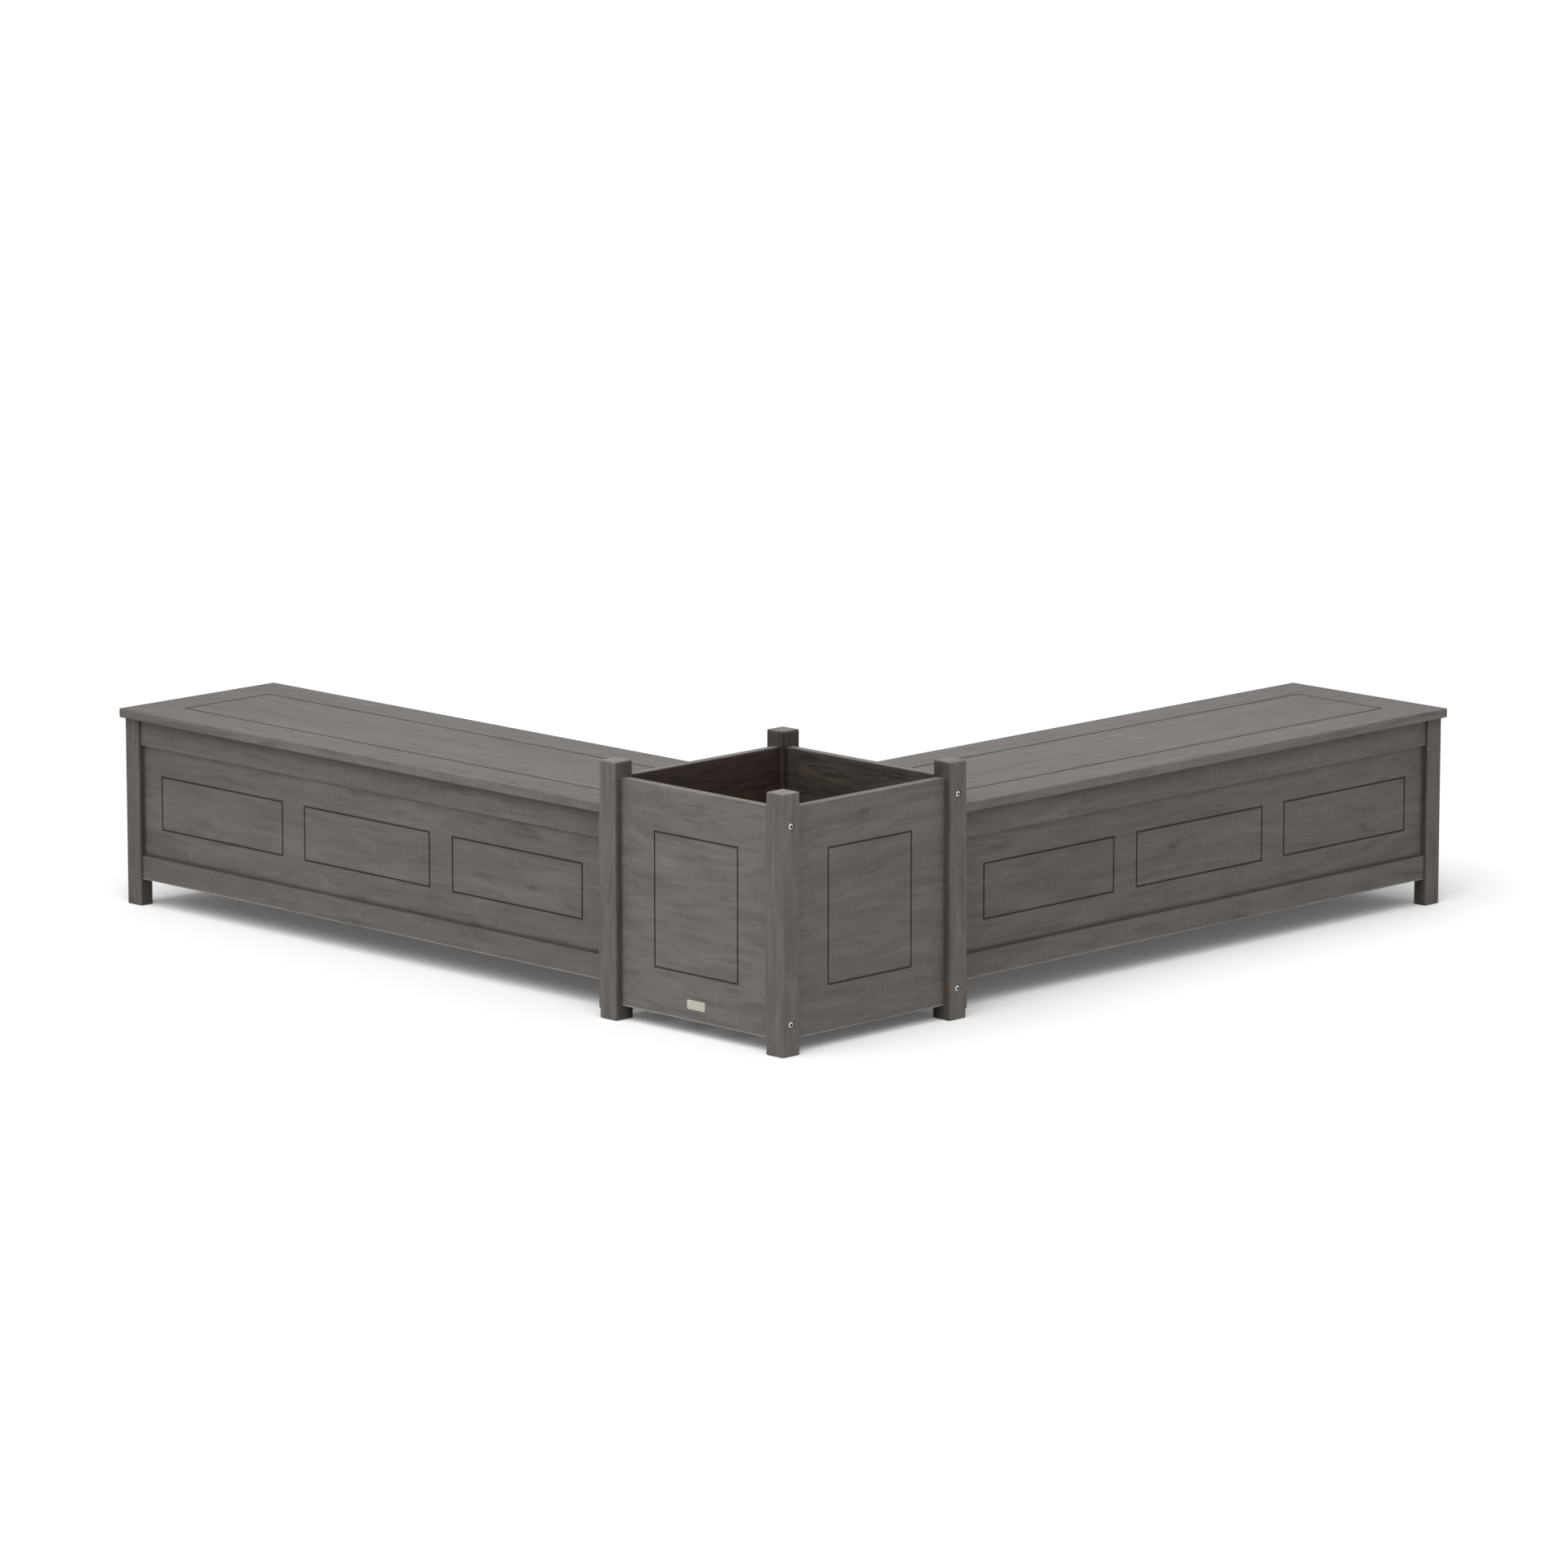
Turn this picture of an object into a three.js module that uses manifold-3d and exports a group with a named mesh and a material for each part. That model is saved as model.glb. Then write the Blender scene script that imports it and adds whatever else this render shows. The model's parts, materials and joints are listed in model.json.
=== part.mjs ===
// Bench with planter: an L-shaped corner seat in grey weathered wood.
// A square planter stands at the corner. A storage bench with a hinged lid runs off each of two of its sides.
// Millimetres, +Z up. The origin is the middle of the floor rectangle that the whole piece covers.
// While it is built, the planter's outer corner is the zero point: the right bench runs along +X and the left
// bench along +Y, and both turn their panelled fronts to the outside of the corner.

import * as THREE from 'three';
import { mergeVertices } from 'three/addons/utils/BufferGeometryUtils.js';
import Module from 'manifold-3d';

const wasm = await Module();
wasm.setup();

// Planter
const PLANTER_SIDE = 540;
const POST_SIDE = 50;
const POST_HEIGHT = 547;
const POST_EDGE_RADIUS = 4.5;
const POST_END_RADIUS = 3.5;
const WALL_THICKNESS = 22;
const WALL_RECESS = 17;          // from the outer face of the posts to the face of the walls
const WALL_BOTTOM = 31;          // the walls stop this far above the floor
const WALL_DROP = 34;            // from the top of the posts to the top of the walls
const WALL_EDGE_RADIUS = 4;
const WALL_GROOVE_INSET = 98;
const WALL_TONGUE_THICKNESS = 10;
const WALL_TONGUE_LENGTH = 10;
const WALL_TONGUE_SHOULDER = 14;

// Planter floor
const CLEAT_THICKNESS = 22;
const CLEAT_HEIGHT = 30;
const CLEAT_RAISE = 12;          // above the bottom edge of the walls
const SLAT_COUNT = 4;
const SLAT_THICKNESS = 16;
const SLAT_GAP = 12;
const SLAT_END_CLEARANCE = 2;
const SLAT_EDGE_RADIUS = 2;

// Connector bolts, two in each planter post
const BOLT_INSET = 35;           // from the top and the bottom edge of the wall that it holds
const BOLT_HEAD_DIAMETER = 13;
const BOLT_HEAD_DOME = 2.4;
const BOLT_HEAD_RIM = 1;
const BOLT_SHANK_DIAMETER = 6;
const BOLT_REACH = 40;           // into the end of the wall
const SOCKET_WIDTH = 4;          // across the corners
const SOCKET_DEPTH = 2.2;
const COUNTERBORE_DIAMETER = 15;
const COUNTERBORE_DEPTH = 4.5;
const NUT_DIAMETER = 10;
const NUT_LENGTH = 12;
const NUT_MARGIN = 7;            // from the axis of the cross nut to the end of the bolt

// Benches
const BENCH_SETBACK = 61;        // from the planter's outer plane to the front of the legs
const BENCH_GAP = 21;            // from the planter, or from the other bench's back, to the first legs
const BENCH_LENGTH = 1565;
const BENCH_DEPTH = 438;
const SEAT_HEIGHT = 441;
const LEG_WIDTH = 46;            // along the bench
const LEG_DEPTH = 35;
const LEG_EDGE_RADIUS = 3.5;
const LEG_END_RADIUS = 2.5;
const RAIL_HEIGHT = 58;
const RAIL_THICKNESS = 25;
const RAIL_RECESS = 6;
const RAIL_EDGE_RADIUS = 2;
const RAIL_RAISE = 60;           // the bottom rails stop this far above the floor
const TENON_LENGTH = 12;
const TENON_THICKNESS = 10;
const TENON_SHOULDER = 12;
const TENON_OFFSET = 5;          // from the outer face of a rail to its tenon
const PANEL_THICKNESS = 12;
const PANEL_RECESS = 13;
const HOUSING_DEPTH = 8;         // how far a panel or the bench floor enters its groove
const FIELD_COUNT = 3;           // routed rectangles on a bench front
const FIELD_GAP = 68;
const FIELD_END_MARGIN = 60;
const FIELD_SIDE_MARGIN = 63;
const BOARD_THICKNESS = 20;      // the back board and the end board beside the planter
const BOARD_EDGE_RADIUS = 2;
const BOARD_SEAM_COUNT = 2;      // seams between the back board's three planks
const SEAM_WIDTH = 5;
const FLOOR_THICKNESS = 9;
const FLOOR_RAISE = 22;          // above the bottom edge of the bottom rails
const JOINING_BATTEN_HEIGHT = 58;
const JOINING_BATTEN_MARGIN = 20;

// Lids
const LID_THICKNESS = 20;
const LID_OVERHANG = 9.5;
const LID_EDGE_RADIUS = 4;
const LID_CORNER_RADIUS = 5;
const LID_GROOVE_INSET = 102;
const BATTEN_WIDTH = 45;
const BATTEN_HEIGHT = 18;
const BATTEN_END_CLEARANCE = 32;
const BATTEN_INSET = 300;        // from the inner side of the legs to a batten's near side
const BATTEN_EDGE_RADIUS = 3;

// Lid hinge: one long hinge with a single pin
const HINGE_MARGIN = 12;         // from the inner side of the legs
const KNUCKLE_DIAMETER = 5;
const KNUCKLE_LENGTH = 90;
const HINGE_PIN_DIAMETER = 2.2;
const LEAF_THICKNESS = 1.2;
const LEAF_WIDTH = 15;
const LEAF_STANDOFF = 3.4;       // from the hinge axis to the edge of a leaf's plate
const PIN_CLEARANCE = 0.4;

// Routed lines and fits
const GROOVE_WIDTH = 4;
const GROOVE_DEPTH = 3;
const FIT = 0.3;                 // between two pieces that seat on or in each other
const OVERRUN = 5;               // how far a cutting shape runs past the face that it opens
const WELD = 0.001;              // corners nearer than this are one corner

// Facets on rounded edges, bolts and knuckles
const EDGE_STEPS = 2;
const RIM_STEPS = 2;
const BOLT_SIDES = 12;
const DOME_STEPS = 2;
const HEX_SIDES = 6;
const SHANK_SIDES = 8;
const NUT_SIDES = 10;
const KNUCKLE_SIDES = 8;

// Heights and lengths that follow
const WALL_TOP = POST_HEIGHT - WALL_DROP;
const WALL_HEIGHT = WALL_TOP - WALL_BOTTOM;
const WALL_CLEAR = PLANTER_SIDE - 2 * POST_SIDE;
const LID_UNDERSIDE = SEAT_HEIGHT - LID_THICKNESS;
const FRAME_TOP = LID_UNDERSIDE - FIT;
const RAIL_TOP = RAIL_RAISE + RAIL_HEIGHT;
const TOP_RAIL_BOTTOM = FRAME_TOP - RAIL_HEIGHT;
const BENCH_START = Math.max(PLANTER_SIDE, BENCH_SETBACK + BENCH_DEPTH) + BENCH_GAP;
const LONG_CLEAR = BENCH_LENGTH - 2 * LEG_WIDTH;
const DEEP_CLEAR = BENCH_DEPTH - 2 * LEG_DEPTH;
const WHOLE_SIDE = BENCH_START + BENCH_LENGTH + LID_OVERHANG;

const FINISHES = {
  post: { color: 0x6a655f, roughness: 0.78, metalness: 0 },
  wall: { color: 0x66615b, roughness: 0.8, metalness: 0 },
  rail: { color: 0x645f59, roughness: 0.78, metalness: 0 },
  panel: { color: 0x605b55, roughness: 0.8, metalness: 0 },
  lid: { color: 0x837e79, roughness: 0.74, metalness: 0 },
  inner: { color: 0x5a5048, roughness: 0.88, metalness: 0 },
  steel: { color: 0xb9bab8, roughness: 0.32, metalness: 1 },
};

// Solids: closed geometries that can be joined and cut

function solidOf(geometry) {
  const bare = geometry.clone();
  bare.deleteAttribute('normal');
  bare.deleteAttribute('uv');
  const merged = mergeVertices(bare, WELD);
  return new wasm.Manifold(new wasm.Mesh({
    numProp: 3,
    vertProperties: Float32Array.from(merged.attributes.position.array),
    triVerts: Uint32Array.from(merged.index.array),
  }));
}

function geometryOf(solid) {
  const mesh = solid.getMesh();
  const geometry = new THREE.BufferGeometry();
  geometry.setAttribute('position', new THREE.BufferAttribute(Float32Array.from(mesh.vertProperties), 3));
  geometry.setIndex(new THREE.BufferAttribute(Uint32Array.from(mesh.triVerts), 1));
  geometry.computeVertexNormals();
  return geometry;
}

function cut(geometry, tools) {
  const left = tools.reduce((solid, tool) => solid.subtract(solidOf(tool)), solidOf(geometry));
  return geometryOf(left);
}

function join(geometry, others) {
  const whole = others.reduce((solid, other) => solid.add(solidOf(other)), solidOf(geometry));
  return geometryOf(whole);
}

// Turns a shape drawn in the XY plane, and extruded along Z, so that it runs along another axis.
// Along x, the drawing's axes become y and z. Along y, they become z and x.
const TURNS = {
  x: new THREE.Matrix4().set(0, 0, 1, 0, 1, 0, 0, 0, 0, 1, 0, 0, 0, 0, 0, 1),
  y: new THREE.Matrix4().set(0, 1, 0, 0, 0, 0, 1, 0, 1, 0, 0, 0, 0, 0, 0, 1),
  z: new THREE.Matrix4(),
};

function drawnSize(size, axis) {
  const [x, y, z] = size;
  return { x: [y, z, x], y: [z, x, y], z: [x, y, z] }[axis];
}

function roundedRectangle(width, height, radius) {
  const shape = new THREE.Shape();
  if (radius === 0) {
    shape.moveTo(0, 0);
    shape.lineTo(width, 0);
    shape.lineTo(width, height);
    shape.lineTo(0, height);
    return shape;
  }
  const quarter = Math.PI / 2;
  shape.absarc(width - radius, radius, radius, -quarter, 0);
  shape.absarc(width - radius, height - radius, radius, 0, quarter);
  shape.absarc(radius, height - radius, radius, quarter, 2 * quarter);
  shape.absarc(radius, radius, radius, 2 * quarter, 3 * quarter);
  return shape;
}

// An outline through corners of [a, b, radius], each rounded by its radius.
function outline(corners) {
  const shape = new THREE.Shape();
  corners.forEach(([a, b, radius], index) => {
    const corner = new THREE.Vector2(a, b);
    const before = new THREE.Vector2(...corners.at(index - 1));
    const after = new THREE.Vector2(...corners[(index + 1) % corners.length]);
    const entry = corner.clone().add(before.sub(corner).setLength(radius));
    const exit = corner.clone().add(after.sub(corner).setLength(radius));
    if (index === 0) {
      shape.moveTo(entry.x, entry.y);
    } else {
      shape.lineTo(entry.x, entry.y);
    }
    if (radius > 0) {
      shape.quadraticCurveTo(corner.x, corner.y, exit.x, exit.y);
    }
  });
  return shape;
}

// Extrudes a drawn shape along an axis, from zero, with its rims rounded over.
function extruded(shape, length, axis, rim = 0) {
  const geometry = new THREE.ExtrudeGeometry(shape, {
    depth: length - 2 * rim,
    steps: 1,
    curveSegments: EDGE_STEPS,
    bevelEnabled: rim > 0,
    bevelThickness: rim,
    bevelSize: rim,
    bevelOffset: -rim,
    bevelSegments: RIM_STEPS,
  });
  geometry.translate(0, 0, rim);
  return geometry.applyMatrix4(TURNS[axis]);
}

// A block of [x, y, z] size from a corner. Its edges along the axis have one radius, its rims another.
function block(size, corner, axis = 'z', edge = 0, rim = 0) {
  const [width, height, length] = drawnSize(size, axis);
  const geometry = extruded(roundedRectangle(width, height, edge), length, axis, rim);
  return geometry.translate(...corner);
}

// The room that a piece of this size needs, with the fit all round.
function clearance(size, corner) {
  return block(size.map((s) => s + 2 * FIT), corner.map((c) => c - FIT));
}

// The routed rectangle that a cutter leaves: a frame of groove width, sunk into a face.
function routedFrame(width, height, length, axis) {
  const shape = roundedRectangle(width, height, GROOVE_WIDTH / 2);
  const inner = roundedRectangle(width - 2 * GROOVE_WIDTH, height - 2 * GROOVE_WIDTH, 0);
  const island = inner.getPoints().map((p) => p.addScalar(GROOVE_WIDTH));
  shape.holes.push(new THREE.Path(island.reverse()));
  return extruded(shape, length, axis);
}

// A cylinder along an axis, from a point on it.
function rod(diameter, length, start, axis, sides) {
  const geometry = new THREE.CylinderGeometry(diameter / 2, diameter / 2, length, sides);
  geometry.rotateX(Math.PI / 2);
  geometry.translate(0, 0, length / 2);
  return geometry.applyMatrix4(TURNS[axis]).translate(...start);
}

// A named mesh whose own zero point is the middle of its geometry.
function piece(name, shape, finish) {
  const geometry = geometryOf(solidOf(shape));
  geometry.computeBoundingBox();
  const middle = geometry.boundingBox.getCenter(new THREE.Vector3());
  geometry.translate(-middle.x, -middle.y, -middle.z);
  const material = new THREE.MeshStandardMaterial({ ...FINISHES[finish], flatShading: true });
  const mesh = new THREE.Mesh(geometry, material);
  mesh.name = name;
  mesh.position.copy(middle);
  return mesh;
}

// Planter posts. Every post takes two bolts along Y, and the tongue of one glued wall along X.

const POST_PLACES = [
  { name: 'front', x: 0, y: 0 },
  { name: 'right', x: 1, y: 0 },
  { name: 'left', x: 0, y: 1 },
  { name: 'back', x: 1, y: 1 },
];
const BOLT_HEIGHTS = [
  { name: 'lower', z: WALL_BOTTOM + BOLT_INSET },
  { name: 'upper', z: WALL_TOP - BOLT_INSET },
];

function postCorner(place) {
  const far = PLANTER_SIDE - POST_SIDE;
  return [place.x * far, place.y * far, 0];
}

function gluedWallTongue(place) {
  const length = WALL_CLEAR + 2 * WALL_TONGUE_LENGTH;
  const middle = WALL_RECESS + WALL_THICKNESS / 2;
  const face = place.y === 0 ? middle : PLANTER_SIDE - middle;
  const x = POST_SIDE - WALL_TONGUE_LENGTH;
  const y = face - WALL_TONGUE_THICKNESS / 2;
  return {
    size: [length, WALL_TONGUE_THICKNESS, WALL_HEIGHT - 2 * WALL_TONGUE_SHOULDER],
    corner: [x, y, WALL_BOTTOM + WALL_TONGUE_SHOULDER],
  };
}

function boltHoles(place) {
  const [x, y] = postCorner(place);
  const middle = x + POST_SIDE / 2;
  const shank = BOLT_SHANK_DIAMETER + 2 * FIT;
  const holes = [];
  for (const { z } of BOLT_HEIGHTS) {
    holes.push(rod(shank, POST_SIDE + 2 * OVERRUN, [middle, y - OVERRUN, z], 'y', SHANK_SIDES));
    const mouth = place.y === 0 ? y - OVERRUN : y + POST_SIDE - COUNTERBORE_DEPTH;
    holes.push(rod(COUNTERBORE_DIAMETER, COUNTERBORE_DEPTH + OVERRUN, [middle, mouth, z], 'y', BOLT_SIDES));
  }
  return holes;
}

function planterPost(place) {
  const tongue = gluedWallTongue(place);
  const size = [POST_SIDE, POST_SIDE, POST_HEIGHT];
  const blank = block(size, postCorner(place), 'z', POST_EDGE_RADIUS, POST_END_RADIUS);
  const post = cut(blank, [clearance(tongue.size, tongue.corner), ...boltHoles(place)]);
  return piece(`planter_${place.name}_post`, post, 'post');
}

// Planter walls. The two that face +Y and -Y are glued into the posts, and the other two are bolted.

function gluedWall(name, place) {
  const length = WALL_CLEAR - 2 * FIT;
  const y = place.y === 0 ? WALL_RECESS : PLANTER_SIDE - WALL_RECESS - WALL_THICKNESS;
  const corner = [POST_SIDE + FIT, y, WALL_BOTTOM];
  const blank = block([length, WALL_THICKNESS, WALL_HEIGHT], corner, 'x', WALL_EDGE_RADIUS);
  const tongue = gluedWallTongue(place);
  const whole = join(blank, [block(tongue.size, tongue.corner)]);
  const frame = routedFrame(WALL_HEIGHT - 2 * WALL_GROOVE_INSET, WALL_CLEAR - 2 * WALL_GROOVE_INSET,
    GROOVE_DEPTH + OVERRUN, 'y');
  const mouth = place.y === 0 ? y - OVERRUN : y + WALL_THICKNESS - GROOVE_DEPTH;
  frame.translate(POST_SIDE + WALL_GROOVE_INSET, mouth, WALL_BOTTOM + WALL_GROOVE_INSET);
  return piece(name, cut(whole, [frame]), 'wall');
}

function boltedWall(name, place) {
  const length = WALL_CLEAR - 2 * FIT;
  const x = place.x === 0 ? WALL_RECESS : PLANTER_SIDE - WALL_RECESS - WALL_THICKNESS;
  const corner = [x, POST_SIDE + FIT, WALL_BOTTOM];
  const blank = block([WALL_THICKNESS, length, WALL_HEIGHT], corner, 'y', WALL_EDGE_RADIUS);
  const frame = routedFrame(WALL_CLEAR - 2 * WALL_GROOVE_INSET, WALL_HEIGHT - 2 * WALL_GROOVE_INSET,
    GROOVE_DEPTH + OVERRUN, 'x');
  const mouth = place.x === 0 ? x - OVERRUN : x + WALL_THICKNESS - GROOVE_DEPTH;
  frame.translate(mouth, POST_SIDE + WALL_GROOVE_INSET, WALL_BOTTOM + WALL_GROOVE_INSET);
  const tools = [frame];
  const axis = place.x === 0 ? POST_SIDE / 2 : PLANTER_SIDE - POST_SIDE / 2;
  const nutRoom = NUT_LENGTH / 2 + FIT;
  const inner = place.x === 0 ? x + WALL_THICKNESS : x;
  const holeLength = Math.abs(inner - axis) + nutRoom + OVERRUN;
  const holeStart = place.x === 0 ? axis - nutRoom : inner - OVERRUN;
  for (const { z } of BOLT_HEIGHTS) {
    const reach = BOLT_REACH + FIT;
    for (const end of [POST_SIDE - OVERRUN, PLANTER_SIDE - POST_SIDE - reach]) {
      tools.push(rod(BOLT_SHANK_DIAMETER + 2 * FIT, reach + OVERRUN, [axis, end, z], 'y', SHANK_SIDES));
    }
    const depth = BOLT_REACH - NUT_MARGIN;
    for (const y of [POST_SIDE + depth, PLANTER_SIDE - POST_SIDE - depth]) {
      tools.push(rod(NUT_DIAMETER + 2 * FIT, holeLength, [holeStart, y, z], 'x', NUT_SIDES));
    }
  }
  return piece(name, cut(blank, tools), 'wall');
}

// Connector bolt with its cross nut: a domed head with a hexagon socket, along +Y from the head.

function connectorBolt() {
  const seat = COUNTERBORE_DEPTH - FIT;
  const headTop = seat - BOLT_HEAD_RIM - BOLT_HEAD_DOME;
  const radius = BOLT_HEAD_DIAMETER / 2;
  const profile = [new THREE.Vector2(0, 0)];
  for (let step = 1; step <= DOME_STEPS; step += 1) {
    const angle = (Math.PI / 2) * (step / DOME_STEPS);
    profile.push(new THREE.Vector2(radius * Math.sin(angle), BOLT_HEAD_DOME * (1 - Math.cos(angle))));
  }
  profile.push(new THREE.Vector2(radius, BOLT_HEAD_DOME + BOLT_HEAD_RIM));
  profile.push(new THREE.Vector2(0, BOLT_HEAD_DOME + BOLT_HEAD_RIM));
  const head = new THREE.LatheGeometry(profile, BOLT_SIDES).translate(0, headTop, 0);
  const tip = POST_SIDE + BOLT_REACH;
  const shank = rod(BOLT_SHANK_DIAMETER, tip - seat + FIT, [0, seat - FIT, 0], 'y', SHANK_SIDES);
  const nut = rod(NUT_DIAMETER, NUT_LENGTH, [-NUT_LENGTH / 2, tip - NUT_MARGIN, 0], 'x', NUT_SIDES);
  const socket = rod(SOCKET_WIDTH, SOCKET_DEPTH + OVERRUN, [0, headTop - OVERRUN, 0], 'y', HEX_SIDES);
  return cut(join(head, [shank, nut]), [socket]);
}

function postBolts(place) {
  const [x, y] = postCorner(place);
  return BOLT_HEIGHTS.map(({ name, z }) => {
    const bolt = piece(`planter_${place.name}_${name}_bolt`, connectorBolt(), 'steel');
    const inward = bolt.position.clone();
    if (place.y === 0) {
      bolt.position.set(x + POST_SIDE / 2 + inward.x, y + inward.y, z + inward.z);
    } else {
      bolt.rotation.z = Math.PI;
      bolt.position.set(x + POST_SIDE / 2 - inward.x, y + POST_SIDE - inward.y, z + inward.z);
    }
    return bolt;
  });
}

// Planter floor: slats across two cleats

function planterFloor() {
  const floor = new THREE.Group();
  const wallInner = WALL_RECESS + WALL_THICKNESS;
  const cleatZ = WALL_BOTTOM + CLEAT_RAISE;
  const cleatLength = WALL_CLEAR - 2 * SLAT_END_CLEARANCE;
  const cleatPlaces = [
    ['left', wallInner + FIT],
    ['right', PLANTER_SIDE - wallInner - FIT - CLEAT_THICKNESS],
  ];
  for (const [side, x] of cleatPlaces) {
    const corner = [x, POST_SIDE + SLAT_END_CLEARANCE, cleatZ];
    const cleat = block([CLEAT_THICKNESS, cleatLength, CLEAT_HEIGHT], corner, 'y', SLAT_EDGE_RADIUS);
    floor.add(piece(`planter_floor_${side}_cleat`, cleat, 'inner'));
  }
  const slatLength = PLANTER_SIDE - 2 * (wallInner + SLAT_END_CLEARANCE);
  const room = WALL_CLEAR - 2 * SLAT_END_CLEARANCE;
  const slatWidth = (room - (SLAT_COUNT - 1) * SLAT_GAP) / SLAT_COUNT;
  for (let index = 0; index < SLAT_COUNT; index += 1) {
    const y = POST_SIDE + SLAT_END_CLEARANCE + index * (slatWidth + SLAT_GAP);
    const corner = [wallInner + SLAT_END_CLEARANCE, y, cleatZ + CLEAT_HEIGHT + FIT];
    const slat = block([slatLength, slatWidth, SLAT_THICKNESS], corner, 'x', SLAT_EDGE_RADIUS);
    floor.add(piece(`planter_floor_slat_${index + 1}`, slat, 'inner'));
  }
  return floor;
}

function planter() {
  const group = new THREE.Group();
  for (const place of POST_PLACES) {
    group.add(planterPost(place), ...postBolts(place));
  }
  group.add(gluedWall('planter_right_front_wall', { y: 0 }), gluedWall('planter_left_back_wall', { y: 1 }));
  group.add(boltedWall('planter_left_front_wall', { x: 0 }), boltedWall('planter_right_back_wall', { x: 1 }));
  group.add(planterFloor());
  return group;
}

// Bench frame. A bench is built with its length along +X from the legs beside the planter, and its depth
// along +Y from the front of the legs.

const FAR_LEG = BENCH_LENGTH - LEG_WIDTH;
const BACK_LEG = BENCH_DEPTH - LEG_DEPTH;
const LEG_PLACES = [
  { name: 'front_near', x: 0, y: 0 },
  { name: 'front_far', x: FAR_LEG, y: 0 },
  { name: 'back_near', x: 0, y: BACK_LEG },
  { name: 'back_far', x: FAR_LEG, y: BACK_LEG },
];
const LEG_SIZE = [LEG_WIDTH, LEG_DEPTH, FRAME_TOP];
const FRONT_INNER = RAIL_RECESS + RAIL_THICKNESS;
const BACK_INNER = BENCH_DEPTH - BOARD_THICKNESS;
const NEAR_INNER = RAIL_RECESS + BOARD_THICKNESS;
const FAR_INNER = BENCH_LENGTH - RAIL_RECESS - RAIL_THICKNESS;
const PANEL_BASE = RAIL_TOP - HOUSING_DEPTH + FIT;
const PANEL_HEIGHT = TOP_RAIL_BOTTOM - RAIL_TOP + 2 * (HOUSING_DEPTH - FIT);
const TENON_HEIGHT = RAIL_HEIGHT - 2 * TENON_SHOULDER;
const FLOOR_Z = RAIL_RAISE + FLOOR_RAISE;
const HINGE_AXIS_Y = BENCH_DEPTH + KNUCKLE_DIAMETER / 2;
const HINGE_AXIS_Z = FRAME_TOP - KNUCKLE_DIAMETER / 2;
const HINGE_START = LEG_WIDTH + HINGE_MARGIN;
const HINGE_RUN = LONG_CLEAR - 2 * HINGE_MARGIN;

// Long members that enter the legs at both ends, as [size, corner]
function longTenon(z) {
  const y = RAIL_RECESS + TENON_OFFSET;
  return [[LONG_CLEAR + 2 * TENON_LENGTH, TENON_THICKNESS, TENON_HEIGHT],
    [LEG_WIDTH - TENON_LENGTH, y, z + TENON_SHOULDER]];
}

function endTenon(z) {
  const x = FAR_INNER + RAIL_THICKNESS - TENON_OFFSET - TENON_THICKNESS;
  return [[TENON_THICKNESS, DEEP_CLEAR + 2 * TENON_LENGTH, TENON_HEIGHT],
    [x, LEG_DEPTH - TENON_LENGTH, z + TENON_SHOULDER]];
}

const FRONT_PANEL_PLACE = [
  [LONG_CLEAR + 2 * (HOUSING_DEPTH - FIT), PANEL_THICKNESS, PANEL_HEIGHT],
  [LEG_WIDTH - HOUSING_DEPTH + FIT, PANEL_RECESS, PANEL_BASE],
];
const END_PANEL_PLACE = [
  [PANEL_THICKNESS, DEEP_CLEAR + 2 * (HOUSING_DEPTH - FIT), PANEL_HEIGHT],
  [BENCH_LENGTH - PANEL_RECESS - PANEL_THICKNESS, LEG_DEPTH - HOUSING_DEPTH + FIT, PANEL_BASE],
];
const FLOOR_PLACE = [
  [FAR_INNER - NEAR_INNER + 2 * (HOUSING_DEPTH - FIT), BACK_INNER - FRONT_INNER + 2 * (HOUSING_DEPTH - FIT),
    FLOOR_THICKNESS],
  [NEAR_INNER - HOUSING_DEPTH + FIT, FRONT_INNER - HOUSING_DEPTH + FIT, FLOOR_Z],
];

function benchLeg(place) {
  const blank = block(LEG_SIZE, [place.x, place.y, 0], 'z', LEG_EDGE_RADIUS, LEG_END_RADIUS);
  const rooms = [longTenon(RAIL_RAISE), longTenon(TOP_RAIL_BOTTOM), FRONT_PANEL_PLACE,
    endTenon(RAIL_RAISE), endTenon(TOP_RAIL_BOTTOM), END_PANEL_PLACE];
  return cut(blank, rooms.map(([size, corner]) => clearance(size, corner)));
}

// A rail's section, with [across, up] from its outer lower corner. The groove for the panel opens upwards in
// a bottom rail and downwards in a top rail. A bottom rail also has the groove for the bench floor.
function railSection(isBottom) {
  const grooveStart = PANEL_RECESS - RAIL_RECESS - FIT;
  const grooveEnd = grooveStart + PANEL_THICKNESS + 2 * FIT;
  const edge = isBottom ? RAIL_HEIGHT : 0;
  const floor = isBottom ? RAIL_HEIGHT - HOUSING_DEPTH : HOUSING_DEPTH;
  const other = RAIL_HEIGHT - edge;
  const groove = [
    [grooveStart, edge, 0],
    [grooveStart, floor, 0],
    [grooveEnd, floor, 0],
    [grooveEnd, edge, 0],
  ];
  const inner = [[RAIL_THICKNESS, edge, 0]];
  if (isBottom) {
    inner.push([RAIL_THICKNESS, FLOOR_RAISE + FLOOR_THICKNESS + FIT, 0]);
    inner.push([RAIL_THICKNESS - HOUSING_DEPTH, FLOOR_RAISE + FLOOR_THICKNESS + FIT, 0]);
    inner.push([RAIL_THICKNESS - HOUSING_DEPTH, FLOOR_RAISE - FIT, 0]);
    inner.push([RAIL_THICKNESS, FLOOR_RAISE - FIT, 0]);
  }
  inner.push([RAIL_THICKNESS, other, 0]);
  return [[0, other, RAIL_EDGE_RADIUS], [0, edge, RAIL_EDGE_RADIUS], ...groove, ...inner];
}

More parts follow.
